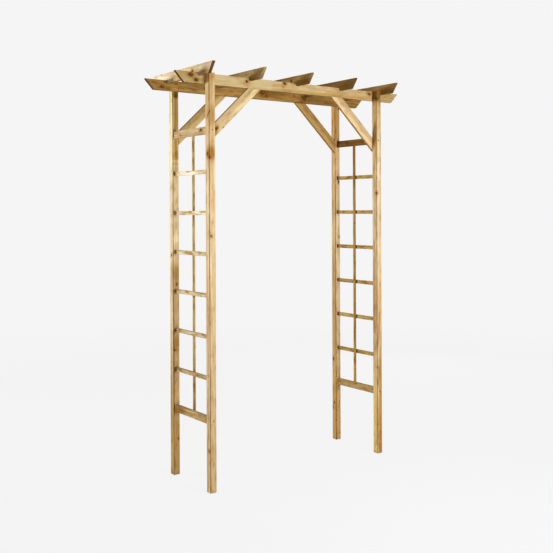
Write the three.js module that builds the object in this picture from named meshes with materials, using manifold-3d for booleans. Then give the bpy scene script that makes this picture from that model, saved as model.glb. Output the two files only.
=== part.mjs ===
// Timber garden arch: four posts, two beams, five rafters, four braces and two side panels.
// Millimetres, +Z up. X runs across the passage, Y runs through it, near is -Y, left is -X.
// The origin is on the ground, at the centre of the four posts.

import * as THREE from "three";
import { mergeVertices } from "three/addons/utils/BufferGeometryUtils.js";
import Module from "manifold-3d";

const wasm = await Module();
wasm.setup();

// Fits and cutting
const FIT_GAP = 0.3;
const CUT_OVERRUN = 8;
const EASE_STEPS = 3;

// Posts
const POST_SIDE = 38;
const POST_HEIGHT = 2200;
const PASSAGE_WIDTH = 1152;
const POST_CLEAR_DEPTH = 347;
const POST_EDGE_RADIUS = 3;
const POST_END_EASE = 1.5;

// Beams, on the facing sides of the near and far posts
const BEAM_HEIGHT = 57;
const BEAM_THICKNESS = 20;
const BEAM_OVERHANG = 178;
const BEAM_END_CUT = 53;
const BEAM_EDGE_RADIUS = 2.5;

// Rafters, notched over both beams
const RAFTER_COUNT = 5;
const RAFTER_HEIGHT = 58;
const RAFTER_THICKNESS = 18;
const RAFTER_RISE = 42;
const RAFTER_OVERHANG = 104;
const RAFTER_END_CUT = 42;
const RAFTER_BEYOND_POST = 24;
const RAFTER_EDGE_RADIUS = 2.5;

// Braces between posts and beams
const BRACE_WIDTH = 56;
const BRACE_THICKNESS = 18;
const BRACE_DROP = 278;
const BRACE_PITCH_DEGREES = 43;
const BRACE_TOP_CLEARANCE = 3;
const BRACE_EDGE_RADIUS = 2.5;

// Side panels: rails, rungs and one batten, between a near and a far post
const RAIL_HEIGHT = 40;
const RAIL_THICKNESS = 20;
const RAIL_RECESS = 6;
const RAIL_EDGE_RADIUS = 2;
const RAIL_BELOW_BRACE = 1;
const BOTTOM_RAIL_LIFT = 355;
const RUNG_COUNT = 6;
const RUNG_HEIGHT = 22;
const RUNG_THICKNESS = 15;
const RUNG_EDGE_RADIUS = 2;
const RUNG_HOUSING_DEPTH = 10;
const BATTEN_WIDTH = 18;
const BATTEN_THICKNESS = 8;
const BATTEN_RAIL_LAP = 9;
const BATTEN_EDGE_RADIUS = 1.5;

// Countersunk wood screws
const SCREW_SIDES = 12;
const SCREW_HEAD_RADIUS = 4;
const SCREW_RIM_HEIGHT = 0.5;
const SCREW_CONE_HEIGHT = 2.2;
const SCREW_SHANK_RADIUS = 2;
const SCREW_TIP_LENGTH = 5;
const SCREW_RECESS = 0.6;
const DRIVE_SPAN = 4.4;
const DRIVE_WIDTH = 1;
const DRIVE_DEPTH = 1.5;
const BEAM_SCREW_LENGTH = 50;
const BEAM_SCREW_SIDE_STEP = 8;
const BEAM_SCREW_RISE = 14;
const RAIL_SCREW_LENGTH = 75;
const RAIL_SCREW_INSET = 21;
const BRACE_SCREW_LENGTH = 60;
const BRACE_SCREW_BITE = 18;
const RAIL_FOOT_SCREW_LENGTH = 70;
const RAIL_FOOT_SCREW_BITE = 16;
const LAP_SCREW_LENGTH = 35;
const FOOT_SCREW_STEP = 11;
const HEAD_SCREW_SHARE = 0.33;

// Places that several pieces follow
const BEAM_TOP = POST_HEIGHT;
const BEAM_UNDERSIDE = BEAM_TOP - BEAM_HEIGHT;
const RAFTER_TOP = BEAM_TOP + RAFTER_RISE;
const RAFTER_UNDERSIDE = RAFTER_TOP - RAFTER_HEIGHT;
const POST_INNER_X = PASSAGE_WIDTH / 2;
const POST_CENTRE_X = POST_INNER_X + POST_SIDE / 2;
const POST_OUTER_X = POST_INNER_X + POST_SIDE;
const POST_FACING_Y = POST_CLEAR_DEPTH / 2;
const POST_CENTRE_Y = POST_FACING_Y + POST_SIDE / 2;
const POST_OUTER_Y = POST_FACING_Y + POST_SIDE;
const BEAM_OUTER_Y = POST_FACING_Y - FIT_GAP;
const BEAM_CENTRE_Y = BEAM_OUTER_Y - BEAM_THICKNESS / 2;
const BEAM_INNER_Y = BEAM_OUTER_Y - BEAM_THICKNESS;
const PANEL_OUTER_X = POST_OUTER_X - RAIL_RECESS;
const PANEL_INNER_X = PANEL_OUTER_X - RAIL_THICKNESS;
const TOP_RAIL_CENTRE = POST_HEIGHT - BRACE_DROP - RAIL_BELOW_BRACE - RAIL_HEIGHT / 2;
const BOTTOM_RAIL_CENTRE = BOTTOM_RAIL_LIFT + RAIL_HEIGHT / 2;
const RUNG_PITCH = (TOP_RAIL_CENTRE - BOTTOM_RAIL_CENTRE) / (RUNG_COUNT + 1);
const OUTER_RAFTER_X = POST_OUTER_X + RAFTER_BEYOND_POST + RAFTER_THICKNESS / 2;
const BRACE_PITCH = THREE.MathUtils.degToRad(BRACE_PITCH_DEGREES);

const SIDES = [
  { name: "left", sign: -1 },
  { name: "right", sign: 1 },
];
const ENDS = [
  { name: "near", sign: -1 },
  { name: "far", sign: 1 },
];

// Frames for bars: the outline's two directions and the direction of its length
const X_AXIS = new THREE.Vector3(1, 0, 0);
const Y_AXIS = new THREE.Vector3(0, 1, 0);
const Z_AXIS = new THREE.Vector3(0, 0, 1);
const ALONG_X = new THREE.Matrix4().makeBasis(Y_AXIS, Z_AXIS, X_AXIS);
const ALONG_Y = new THREE.Matrix4().makeBasis(Z_AXIS, X_AXIS, Y_AXIS);
const ALONG_Z = new THREE.Matrix4();

// Turns a closed three.js geometry into a solid that can be cut.
function toSolid(geometry) {
  const bare = geometry.clone();
  bare.deleteAttribute("normal");
  bare.deleteAttribute("uv");
  const merged = mergeVertices(bare);
  return new wasm.Manifold(new wasm.Mesh({
    numProp: 3,
    vertProperties: new Float32Array(merged.attributes.position.array),
    triVerts: new Uint32Array(merged.index.array),
  }));
}

// Turns a cut solid back into a three.js geometry.
function toGeometry(solid) {
  const mesh = solid.getMesh();
  const geometry = new THREE.BufferGeometry();
  geometry.setAttribute("position", new THREE.BufferAttribute(mesh.vertProperties, 3));
  geometry.setIndex(new THREE.BufferAttribute(mesh.triVerts, 1));
  geometry.computeVertexNormals();
  return geometry;
}

// Outline of a planed bar: a rectangle whose four corners are eased by a radius.
function easedOutline(width, height, radius) {
  const corners = [[1, 1], [-1, 1], [-1, -1], [1, -1]];
  return corners.flatMap(([across, up], corner) => {
    const centreX = across * (width / 2 - radius);
    const centreY = up * (height / 2 - radius);
    return Array.from({ length: EASE_STEPS + 1 }, (_, step) => {
      const angle = (corner + step / EASE_STEPS) * (Math.PI / 2);
      return new THREE.Vector2(
        centreX + radius * Math.cos(angle),
        centreY + radius * Math.sin(angle),
      );
    });
  });
}

// A bar of any outline, from one place to another along its frame's length.
function bar(outline, start, end, frame) {
  const geometry = new THREE.ExtrudeGeometry(new THREE.Shape(outline), {
    depth: end - start,
    bevelEnabled: false,
  });
  geometry.translate(0, 0, start);
  geometry.applyMatrix4(frame);
  return geometry;
}

// A box between two corners.
function box(low, high) {
  const size = new THREE.Vector3().subVectors(high, low);
  const centre = new THREE.Vector3().addVectors(low, high).divideScalar(2);
  return toSolid(new THREE.BoxGeometry(size.x, size.y, size.z).translate(...centre.toArray()));
}

// Profile of a countersunk screw from its tip to its head, grown on all sides for its hole.
function screwProfile(length, grown) {
  const coneTop = -SCREW_RIM_HEIGHT;
  const coneFoot = coneTop - SCREW_CONE_HEIGHT;
  return [
    new THREE.Vector2(0, -length - grown),
    new THREE.Vector2(SCREW_SHANK_RADIUS + grown, -length + SCREW_TIP_LENGTH),
    new THREE.Vector2(SCREW_SHANK_RADIUS + grown, coneFoot),
    new THREE.Vector2(SCREW_HEAD_RADIUS + grown, coneTop),
  ];
}

// A screw along -Y with its head at the origin, with a cross recess for the driver.
function screwSolid(length) {
  const profile = screwProfile(length, 0);
  profile.push(new THREE.Vector2(SCREW_HEAD_RADIUS, 0));
  profile.push(new THREE.Vector2(0, 0));
  const body = toSolid(new THREE.LatheGeometry(profile, SCREW_SIDES));
  const slot = new THREE.BoxGeometry(DRIVE_SPAN, DRIVE_DEPTH + DRIVE_DEPTH, DRIVE_WIDTH);
  const crossing = slot.clone().rotateY(Math.PI / 2);
  return body.subtract(toSolid(slot).add(toSolid(crossing)));
}

// The hole of that screw, open above its head.
function screwHole(length, openAbove) {
  const profile = screwProfile(length, FIT_GAP);
  profile.push(new THREE.Vector2(SCREW_HEAD_RADIUS + FIT_GAP, openAbove));
  profile.push(new THREE.Vector2(0, openAbove));
  return toSolid(new THREE.LatheGeometry(profile, SCREW_SIDES));
}

// A screw of the arch: where its head lies, which way it faces and which pieces it holds.
// The hole stays open above the head for the depth that its pocket needs.
class Screw {
  constructor(name, head, outward, length, pieces, openAbove = CUT_OVERRUN) {
    this.name = name;
    this.head = head;
    this.turn = new THREE.Quaternion().setFromUnitVectors(Y_AXIS, outward);
    this.length = length;
    this.pieces = pieces;
    const place = new THREE.Matrix4().compose(head, this.turn, new THREE.Vector3(1, 1, 1));
    this.hole = screwHole(length, openAbove).transform(place.elements);
  }
}

// Height of a brace's edge at a run from the post's inner side: its upper or lower edge.
function braceEdge(run, drop) {
  return POST_HEIGHT - drop + run * Math.tan(BRACE_PITCH);
}

// Run at which a brace's edge reaches a height.
function braceRun(height, drop) {
  return (height - POST_HEIGHT + drop) / Math.tan(BRACE_PITCH);
}

const BRACE_LOWER_DROP = BRACE_DROP + BRACE_WIDTH / Math.cos(BRACE_PITCH);
const NEAR_FOOT_RUN = POST_INNER_X - PANEL_INNER_X;
const LAP_TOP = RAFTER_UNDERSIDE - BRACE_TOP_CLEARANCE;

// Every screw of the arch, in its place.
function makeScrews() {
  const screws = [];
  for (const side of SIDES) {
    const inward = X_AXIS.clone().multiplyScalar(-side.sign);
    for (const end of ENDS) {
      const corner = `${end.name}_${side.name}`;
      const post = `post_${corner}`;
      const inboard = Y_AXIS.clone().multiplyScalar(-end.sign);
      const outboard = Y_AXIS.clone().multiplyScalar(end.sign);

      // Two screws a post, through the beam from the passage side, set on a diagonal
      for (const [level, rise] of [["upper", BEAM_SCREW_RISE], ["lower", -BEAM_SCREW_RISE]]) {
        const step = Math.sign(rise) * BEAM_SCREW_SIDE_STEP;
        screws.push(new Screw(
          `beam_screw_${corner}_${level}`,
          new THREE.Vector3(
            side.sign * (POST_CENTRE_X + step),
            end.sign * (BEAM_INNER_Y + SCREW_RECESS),
            BEAM_TOP - BEAM_HEIGHT / 2 + rise,
          ),
          inboard,
          BEAM_SCREW_LENGTH,
          [post, `beam_${end.name}`],
        ));
      }

      // One screw through the post into the end of each rail
      for (const [level, height] of [["top", TOP_RAIL_CENTRE], ["bottom", BOTTOM_RAIL_CENTRE]]) {
        screws.push(new Screw(
          `rail_screw_${corner}_${level}`,
          new THREE.Vector3(
            side.sign * (POST_OUTER_X - RAIL_SCREW_INSET),
            end.sign * (POST_OUTER_Y - SCREW_RECESS),
            height,
          ),
          outboard,
          RAIL_SCREW_LENGTH,
          [post, `rail_${level}_${side.name}`],
        ));
      }
    }

    screws.push(...braceScrews(side, inward));
  }
  return screws;
}

// The four brace screws of one side: two at the near brace, two at the far brace.
function braceScrews(side, inward) {
  const nearY = -BEAM_OUTER_Y + BRACE_THICKNESS / 2;
  const farY = POST_FACING_Y + BRACE_THICKNESS / 2;
  const shaft = BRACE_SCREW_LENGTH - BRACE_SCREW_BITE;
  const nearFootShaft = RAIL_FOOT_SCREW_LENGTH - RAIL_FOOT_SCREW_BITE;
  const nearFootZ = TOP_RAIL_CENTRE - FOOT_SCREW_STEP;
  const farFootZ = TOP_RAIL_CENTRE + FOOT_SCREW_STEP;
  const topStart = braceRun(BEAM_UNDERSIDE, BRACE_DROP);
  const topEnd = braceRun(BEAM_UNDERSIDE, BRACE_LOWER_DROP);
  const headRun = topStart + (topEnd - topStart) * HEAD_SCREW_SHARE;
  const lapZ = (BEAM_UNDERSIDE + LAP_TOP) / 2;
  const lapRun = (braceRun(lapZ, BRACE_DROP) + braceRun(lapZ, BRACE_LOWER_DROP)) / 2;
  const at = (run, y, z) => new THREE.Vector3(side.sign * (POST_INNER_X - run), y, z);
  const near = `near_${side.name}`;
  const far = `far_${side.name}`;
  return [
    new Screw(
      `brace_screw_${near}_foot`,
      at(NEAR_FOOT_RUN + nearFootShaft, nearY, nearFootZ),
      inward,
      RAIL_FOOT_SCREW_LENGTH,
      [`brace_${near}`, `rail_top_${side.name}`],
      BRACE_WIDTH,
    ),
    new Screw(
      `brace_screw_${near}_head`,
      at(headRun, nearY, BEAM_UNDERSIDE - shaft),
      Z_AXIS.clone().negate(),
      BRACE_SCREW_LENGTH,
      [`brace_${near}`, "beam_near"],
      BRACE_WIDTH,
    ),
    new Screw(
      `brace_screw_${far}_foot`,
      at(shaft, farY, farFootZ),
      inward,
      BRACE_SCREW_LENGTH,
      [`brace_${far}`, `post_${far}`],
      BRACE_WIDTH,
    ),
    new Screw(
      `brace_screw_${far}_head`,
      at(lapRun, POST_FACING_Y + BRACE_THICKNESS - SCREW_RECESS, lapZ),
      Y_AXIS,
      LAP_SCREW_LENGTH,
      [`brace_${far}`, "beam_far"],
    ),
  ];
}

const screws = makeScrews();

// Cuts the holes of the screws that hold this piece.
function drill(name, solid) {
  return screws
    .filter((screw) => screw.pieces.includes(name))
    .reduce((drilled, screw) => drilled.subtract(screw.hole), solid);
}

// Adds one piece to a group. The solid lies where it belongs, and the origin is its own
// reference point, which its mesh is placed by.
function addPiece(group, name, solid, origin, material) {
  const own = solid.translate(origin.clone().negate().toArray());
  const mesh = new THREE.Mesh(toGeometry(own), material);
  mesh.name = name;
  mesh.position.copy(origin).sub(group.position);
  group.add(mesh);
}

// Planed pine, unpainted, in the tone of one kind of piece.
function pine(colour) {
  return new THREE.MeshStandardMaterial({ color: colour, roughness: 0.75, metalness: 0 });
}

// Zinc-plated steel with a yellow tint.
function steel() {
  return new THREE.MeshStandardMaterial({ color: 0x9a8f78, roughness: 0.45, metalness: 1 });
}

// A post: eased all round, with blind housings for the rungs in its facing side.
function makePost(side, end) {
  const outline = easedOutline(POST_SIDE, POST_SIDE, POST_EDGE_RADIUS);
  const geometry = new THREE.ExtrudeGeometry(new THREE.Shape(outline), {
    depth: POST_HEIGHT - POST_END_EASE - POST_END_EASE,
    bevelEnabled: true,
    bevelSegments: 1,
    bevelSize: POST_END_EASE,
    bevelOffset: -POST_END_EASE,
    bevelThickness: POST_END_EASE,
  });
  geometry.translate(side.sign * POST_CENTRE_X, end.sign * POST_CENTRE_Y, POST_END_EASE);
  let post = toSolid(geometry);
  const nearEdge = side.sign * (PANEL_INNER_X - FIT_GAP);
  const farEdge = side.sign * (PANEL_INNER_X + RUNG_THICKNESS + FIT_GAP);
  const mouth = end.sign * (POST_FACING_Y - CUT_OVERRUN);
  const floor = end.sign * (POST_FACING_Y + RUNG_HOUSING_DEPTH + FIT_GAP);
  for (const height of rungHeights()) {
    post = post.subtract(box(
      new THREE.Vector3(
        Math.min(nearEdge, farEdge),
        Math.min(mouth, floor),
        height - RUNG_HEIGHT / 2 - FIT_GAP,
      ),
      new THREE.Vector3(
        Math.max(nearEdge, farEdge),
        Math.max(mouth, floor),
        height + RUNG_HEIGHT / 2 + FIT_GAP,
      ),
    ));
  }
  return post;
}

// Heights of the rungs' centres, evenly between the two rails.
function rungHeights() {
  return Array.from({ length: RUNG_COUNT }, (_, rung) => BOTTOM_RAIL_CENTRE + (rung + 1) * RUNG_PITCH);
}

// A beam: its lower edge is shorter, so that both ends run back at an angle.
function makeBeam(end) {
  const reach = POST_OUTER_X + BEAM_OVERHANG;
  const outline = easedOutline(BEAM_THICKNESS, BEAM_HEIGHT, BEAM_EDGE_RADIUS);
  const plank = toSolid(bar(outline, -reach, reach, ALONG_X)).translate(
    [0, end.sign * BEAM_CENTRE_Y, BEAM_TOP - BEAM_HEIGHT / 2],
  );
  return plank.intersect(endCutter(reach, BEAM_END_CUT, BEAM_UNDERSIDE, BEAM_TOP, "x"));
}

// The space between two sloping end cuts, along X or Y, longer at the top than at the foot.
// The slopes carry on past the board's edges, so that they cut it clean.
function endCutter(reach, cut, low, high, direction) {
  const slope = cut / (high - low);
  const footReach = reach - cut - slope * CUT_OVERRUN;
  const topReach = reach + slope * CUT_OVERRUN;
  const foot = low - CUT_OVERRUN;
  const top = high + CUT_OVERRUN;
  const side = POST_OUTER_Y + POST_OUTER_X + BEAM_OVERHANG;
  const corners = [[-footReach, foot], [footReach, foot], [topReach, top], [-topReach, top]];
  if (direction === "x") {
    const outline = corners.map(([along, up]) => new THREE.Vector2(up, along)).reverse();
    return toSolid(bar(outline, -side, side, ALONG_Y));
  }
  const outline = corners.map(([along, up]) => new THREE.Vector2(along, up));
  return toSolid(bar(outline, -side, side, ALONG_X));
}

// A rafter: ends cut at an angle, and one notch over each beam.
function makeRafter(centreX) {
  const reach = POST_OUTER_Y + RAFTER_OVERHANG;
  const outline = easedOutline(RAFTER_HEIGHT, RAFTER_THICKNESS, RAFTER_EDGE_RADIUS);
  const plank = toSolid(bar(outline, -reach, reach, ALONG_Y)).translate(
    [centreX, 0, RAFTER_TOP - RAFTER_HEIGHT / 2],
  );
  let rafter = plank.intersect(
    endCutter(reach, RAFTER_END_CUT, RAFTER_UNDERSIDE, RAFTER_TOP, "y"),
  );
  for (const end of ENDS) {
    const innerEdge = end.sign * (BEAM_INNER_Y - FIT_GAP);
    const outerEdge = end.sign * (BEAM_OUTER_Y + FIT_GAP);
    rafter = rafter.subtract(box(
      new THREE.Vector3(
        centreX - RAFTER_THICKNESS,
        Math.min(innerEdge, outerEdge),
        RAFTER_UNDERSIDE - CUT_OVERRUN,
      ),
      new THREE.Vector3(
        centreX + RAFTER_THICKNESS,
        Math.max(innerEdge, outerEdge),
        BEAM_TOP + FIT_GAP,
      ),
    ));
  }
  return rafter;
}

// A brace: an eased board at the brace's pitch, cut upright at its foot and level at its head.
// The near braces lie in the near beam's layer, stand against the top rails and butt under
// the beam. The far braces lie in the far posts' layer and lap behind the far beam.
function makeBrace(side, end) {
  const isNear = end.name === "near";
  const footRun = (isNear ? NEAR_FOOT_RUN : 0) + FIT_GAP;
  const headZ = isNear ? BEAM_UNDERSIDE - FIT_GAP : LAP_TOP;
  const lowY = isNear ? -BEAM_OUTER_Y : POST_FACING_Y;
  const length = (POST_HEIGHT + PASSAGE_WIDTH) / 2;
  const outline = easedOutline(BRACE_THICKNESS, BRACE_WIDTH, BRACE_EDGE_RADIUS);
  const board = toSolid(bar(outline, -length, length, ALONG_X).rotateY(-BRACE_PITCH));
  const centreZ = POST_HEIGHT - (BRACE_DROP + BRACE_LOWER_DROP) / 2;
  const placed = board.translate([-POST_INNER_X, lowY + BRACE_THICKNESS / 2, centreZ]);
  const left = placed.intersect(box(
    new THREE.Vector3(-POST_INNER_X + footRun, lowY - CUT_OVERRUN, 0),
    new THREE.Vector3(0, lowY + BRACE_THICKNESS + CUT_OVERRUN, headZ),
  ));
  return side.sign < 0 ? left : left.mirror(X_AXIS.toArray());
}

// A rail between the near and the far post of one side.
function makeRail(side, centreZ) {
  const outline = easedOutline(RAIL_HEIGHT, RAIL_THICKNESS, RAIL_EDGE_RADIUS);
  const reach = POST_FACING_Y - FIT_GAP;
  return toSolid(bar(outline, -reach, reach, ALONG_Y)).translate(
    [side.sign * (PANEL_INNER_X + RAIL_THICKNESS / 2), 0, centreZ],
  );
}

// A rung: its ends go into the posts' housings, and its passage side is level with the rails'.
function makeRung(side, centreZ) {
  const outline = easedOutline(RUNG_HEIGHT, RUNG_THICKNESS, RUNG_EDGE_RADIUS);
  const reach = POST_FACING_Y + RUNG_HOUSING_DEPTH;
  return toSolid(bar(outline, -reach, reach, ALONG_Y)).translate(
    [side.sign * (PANEL_INNER_X + RUNG_THICKNESS / 2), 0, centreZ],
  );
}

// The batten over the rungs of one side, which laps a little onto both rails.
function makeBatten(side) {
  const outline = easedOutline(BATTEN_THICKNESS, BATTEN_WIDTH, BATTEN_EDGE_RADIUS);
  const foot = BOTTOM_RAIL_CENTRE + RAIL_HEIGHT / 2 - BATTEN_RAIL_LAP;
  const top = TOP_RAIL_CENTRE - RAIL_HEIGHT / 2 + BATTEN_RAIL_LAP;
  return toSolid(bar(outline, foot, top, ALONG_Z)).translate(
    [side.sign * (PANEL_INNER_X - FIT_GAP - BATTEN_THICKNESS / 2), 0, 0],
  );
}

const arch = new THREE.Group();

// The two ladder-like sides: posts, rails, rungs and batten
for (const side of SIDES) {
  const frame = new THREE.Group();
  frame.position.set(side.sign * POST_CENTRE_X, 0, 0);
  arch.add(frame);
  const panelX = side.sign * (PANEL_INNER_X + RAIL_THICKNESS / 2);
  for (const end of ENDS) {
    const name = `post_${end.name}_${side.name}`;
    const foot = new THREE.Vector3(side.sign * POST_CENTRE_X, end.sign * POST_CENTRE_Y, 0);
    addPiece(frame, name, drill(name, makePost(side, end)), foot, pine(0xdcc095));
  }
  for (const [level, height] of [["top", TOP_RAIL_CENTRE], ["bottom", BOTTOM_RAIL_CENTRE]]) {
    const name = `rail_${level}_${side.name}`;
    const middle = new THREE.Vector3(panelX, 0, height);
    addPiece(frame, name, drill(name, makeRail(side, height)), middle, pine(0xd8b987));
  }
  rungHeights().forEach((height, rung) => {
    const middle = new THREE.Vector3(panelX, 0, height);
    addPiece(frame, `rung_${side.name}_${rung + 1}`, makeRung(side, height), middle, pine(0xe2c79c));
  });
  const batten = new THREE.Vector3(side.sign * PANEL_INNER_X, 0, BOTTOM_RAIL_CENTRE);
  addPiece(frame, `batten_${side.name}`, makeBatten(side), batten, pine(0xdec298));
}

// The top: two beams and the rafters over them
const roof = new THREE.Group();
roof.position.set(0, 0, BEAM_TOP);
arch.add(roof);
for (const end of ENDS) {
  const name = `beam_${end.name}`;
  const middle = new THREE.Vector3(0, end.sign * BEAM_CENTRE_Y, BEAM_TOP);
  addPiece(roof, name, drill(name, makeBeam(end)), middle, pine(0xd9bb8b));
}
for (let rafter = 0; rafter < RAFTER_COUNT; rafter += 1) {
  const centreX = OUTER_RAFTER_X * (2 * rafter / (RAFTER_COUNT - 1) - 1);
  const middle = new THREE.Vector3(centreX, 0, RAFTER_TOP);
  addPiece(roof, `rafter_${rafter + 1}`, makeRafter(centreX), middle, pine(0xd3b07c));
}

// The braces in the four corners
const braces = new THREE.Group();
braces.position.set(0, 0, BEAM_UNDERSIDE);
arch.add(braces);
for (const side of SIDES) {
  for (const end of ENDS) {
    const name = `brace_${end.name}_${side.name}`;
    const layerY = end.sign < 0 ? -BEAM_OUTER_Y : POST_FACING_Y;
    const foot = new THREE.Vector3(side.sign * POST_INNER_X, layerY, POST_HEIGHT - BRACE_DROP);
    addPiece(braces, name, drill(name, makeBrace(side, end)), foot, pine(0xd6b583));
  }
}

// The screws that hold it together
for (const screw of screws) {
  const mesh = new THREE.Mesh(toGeometry(screwSolid(screw.length)), steel());
  mesh.name = screw.name;
  mesh.position.copy(screw.head);
  mesh.quaternion.copy(screw.turn);
  arch.add(mesh);
}

export default arch;
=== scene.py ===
"""Looks of a timber garden arch: planed knotty pine, zinc screws and a pale studio."""

import logging
import math
import random
from collections.abc import Callable
from dataclasses import dataclass, field
from enum import Enum

import bmesh
import bpy
from mathutils import Euler, Matrix, Vector


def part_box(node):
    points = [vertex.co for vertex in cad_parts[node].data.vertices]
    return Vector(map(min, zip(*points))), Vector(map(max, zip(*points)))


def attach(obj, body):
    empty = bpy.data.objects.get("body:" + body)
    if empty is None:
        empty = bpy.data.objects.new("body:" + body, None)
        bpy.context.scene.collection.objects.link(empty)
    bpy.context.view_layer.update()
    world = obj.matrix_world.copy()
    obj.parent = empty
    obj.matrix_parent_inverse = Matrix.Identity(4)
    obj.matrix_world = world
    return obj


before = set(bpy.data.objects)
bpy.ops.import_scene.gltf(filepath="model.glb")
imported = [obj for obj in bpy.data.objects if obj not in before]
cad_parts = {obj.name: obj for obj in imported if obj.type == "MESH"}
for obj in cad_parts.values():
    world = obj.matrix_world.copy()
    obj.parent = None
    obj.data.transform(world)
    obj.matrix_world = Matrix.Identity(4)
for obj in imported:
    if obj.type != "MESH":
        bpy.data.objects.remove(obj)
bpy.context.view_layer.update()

BODY = "root"
RAFTER_COUNT = 5
RUNG_COUNT = 6
SMOOTH_ANGLE = math.radians(35)
THROUGH_REACH = 0.03
LOG = logging.getLogger("garden_arch")

Colour = tuple[float, float, float, float]
Triple = tuple[float, float, float]
Socket = bpy.types.NodeSocket
Input = Socket | float | tuple | Vector

ORIGIN = (0.0, 0.0, 0.0)
WHITE = (1.0, 1.0, 1.0, 1.0)


def srgb(red: float, green: float, blue: float) -> Colour:
    """Turns a colour as it is seen on a screen into a linear one.

    Args:
        red: Red from 0 to 255.
        green: Green from 0 to 255.
        blue: Blue from 0 to 255.

    Returns:
        The linear colour with an alpha of one.
    """
    def linear(value: float) -> float:
        """Undoes the screen's curve for one channel."""
        share = value / 255
        return share / 12.92 if share <= 0.04045 else ((share + 0.055) / 1.055) ** 2.4

    return linear(red), linear(green), linear(blue), 1.0


class Grain(Enum):
    """The way a board's grain runs in the arch, as the turn that brings +Z to it."""

    UPRIGHT = (0.0, 0.0, 0.0)
    ACROSS = (0.0, math.pi / 2, 0.0)
    THROUGH = (-math.pi / 2, 0.0, 0.0)
    LEFT_BRACE = (0.0, math.radians(47), 0.0)
    RIGHT_BRACE = (0.0, math.radians(-47), 0.0)


class NodeWriter:
    """Adds and links the nodes of one shader tree."""

    def __init__(self, tree: bpy.types.NodeTree) -> None:
        """Keeps the tree that the nodes go into."""
        self.tree = tree

    def node(self, kind: str, values: dict | None = None, **settings) -> bpy.types.Node:
        """Adds a node.

        Args:
            kind: The node's class name without its ShaderNode prefix.
            values: Inputs by name or number, each with a value or a socket to link from.
            **settings: Properties of the node itself.

        Returns:
            The new node.
        """
        made = self.tree.nodes.new("ShaderNode" + kind)
        for name, setting in settings.items():
            setattr(made, name, setting)
        self.feed(made.inputs, values or {})
        return made

    def feed(self, inputs: bpy.types.bpy_prop_collection, values: dict) -> None:
        """Links a socket into each named input, or sets its value.

        Args:
            inputs: The inputs of a node.
            values: Inputs by name or number, each with a value or a socket to link from.
        """
        for name, value in values.items():
            if isinstance(value, Socket):
                self.tree.links.new(value, inputs[name])
            else:
                inputs[name].default_value = value

    def group(self, effect: bpy.types.NodeTree, values: dict) -> bpy.types.bpy_prop_collection:
        """Places a shared effect with its own values and returns its outputs."""
        return self.node("Group", values, node_tree=effect).outputs

    def math(self, operation: str, *values: Input) -> Socket:
        """Adds a Math node over the values and returns its result."""
        return self.node("Math", dict(enumerate(values)), operation=operation).outputs[0]

    def times(self, first: Input, second: Input) -> Socket:
        """Multiplies two values."""
        return self.math("MULTIPLY", first, second)

    def times_plus(self, value: Input, factor: Input, base: Input) -> Socket:
        """Multiplies a value by a factor and adds a base."""
        return self.math("MULTIPLY_ADD", value, factor, base)

    def vector(self, operation: str, *values: Input) -> Socket:
        """Adds a Vector Math node over the values and returns its vector."""
        return self.node("VectorMath", dict(enumerate(values)), operation=operation).outputs[0]

    def stretch(self, vector: Input, factors: Triple) -> Socket:
        """Stretches a vector by a factor for each direction."""
        return self.vector("MULTIPLY", vector, factors)

    def scale(self, vector: Input, factor: Input) -> Socket:
        """Scales a vector evenly."""
        return self.node("VectorMath", {0: vector, "Scale": factor}, operation="SCALE").outputs[0]

    def measure(self, operation: str, *vectors: Input) -> Socket:
        """Adds a Vector Math node over the vectors and returns the number that it gives."""
        made = self.node("VectorMath", dict(enumerate(vectors)), operation=operation)
        return made.outputs["Value"]

    def split(self, vector: Input) -> tuple[Socket, ...]:
        """Splits a vector into its three numbers."""
        return tuple(self.node("SeparateXYZ", {0: vector}).outputs)

    def smooth(self, value: Input, low: float, high: float) -> Socket:
        """Maps a value smoothly from 0 at low to 1 at high."""
        values = {"Value": value, "From Min": low, "From Max": high}
        return self.node("MapRange", values, interpolation_type="SMOOTHSTEP").outputs[0]

    def noise(self, vector: Input, scale: float, detail: float = 2.0, rough: float = 0.5) -> Socket:
        """Adds 3D noise.

        Args:
            vector: Where the noise is read.
            scale: How many lumps a metre has.
            detail: Finer layers on top of the first.
            rough: How strong the finer layers are.

        Returns:
            The noise's value, about 0.5 on average.
        """
        values = {"Vector": vector, "Scale": scale, "Detail": detail, "Roughness": rough}
        return self.node("TexNoise", values).outputs[0]

    def lumps(self, vector: Input, counts: Triple, detail: float = 2.0, rough: float = 0.5) -> Socket:
        """Adds 3D noise with its own count of lumps a metre for each direction."""
        return self.noise(self.stretch(vector, counts), 1.0, detail, rough)

    def blend(self, share: Input, first: Input, second: Input, how: str = "MIX") -> Socket:
        """Mixes two colours.

        Args:
            share: How much of the second colour is taken.
            first: The first colour.
            second: The second colour.
            how: The way they are blended.

        Returns:
            The mixed colour.
        """
        made = self.node("Mix", {0: share, 6: first, 7: second}, data_type="RGBA", blend_type=how)
        return made.outputs[2]

    def tint(self, colour: Input, share: Input, tone: Input) -> Socket:
        """Multiplies a colour by a tone, as far as the share says."""
        return self.blend(share, colour, tone, "MULTIPLY")

    def seen_plainly(self) -> Socket:
        """Gives 1 to what the camera sees itself or in a mirror, and 0 to what only gives light."""
        path = self.node("LightPath").outputs
        return self.math("MAXIMUM", path["Is Camera Ray"], path["Is Glossy Ray"])


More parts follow.
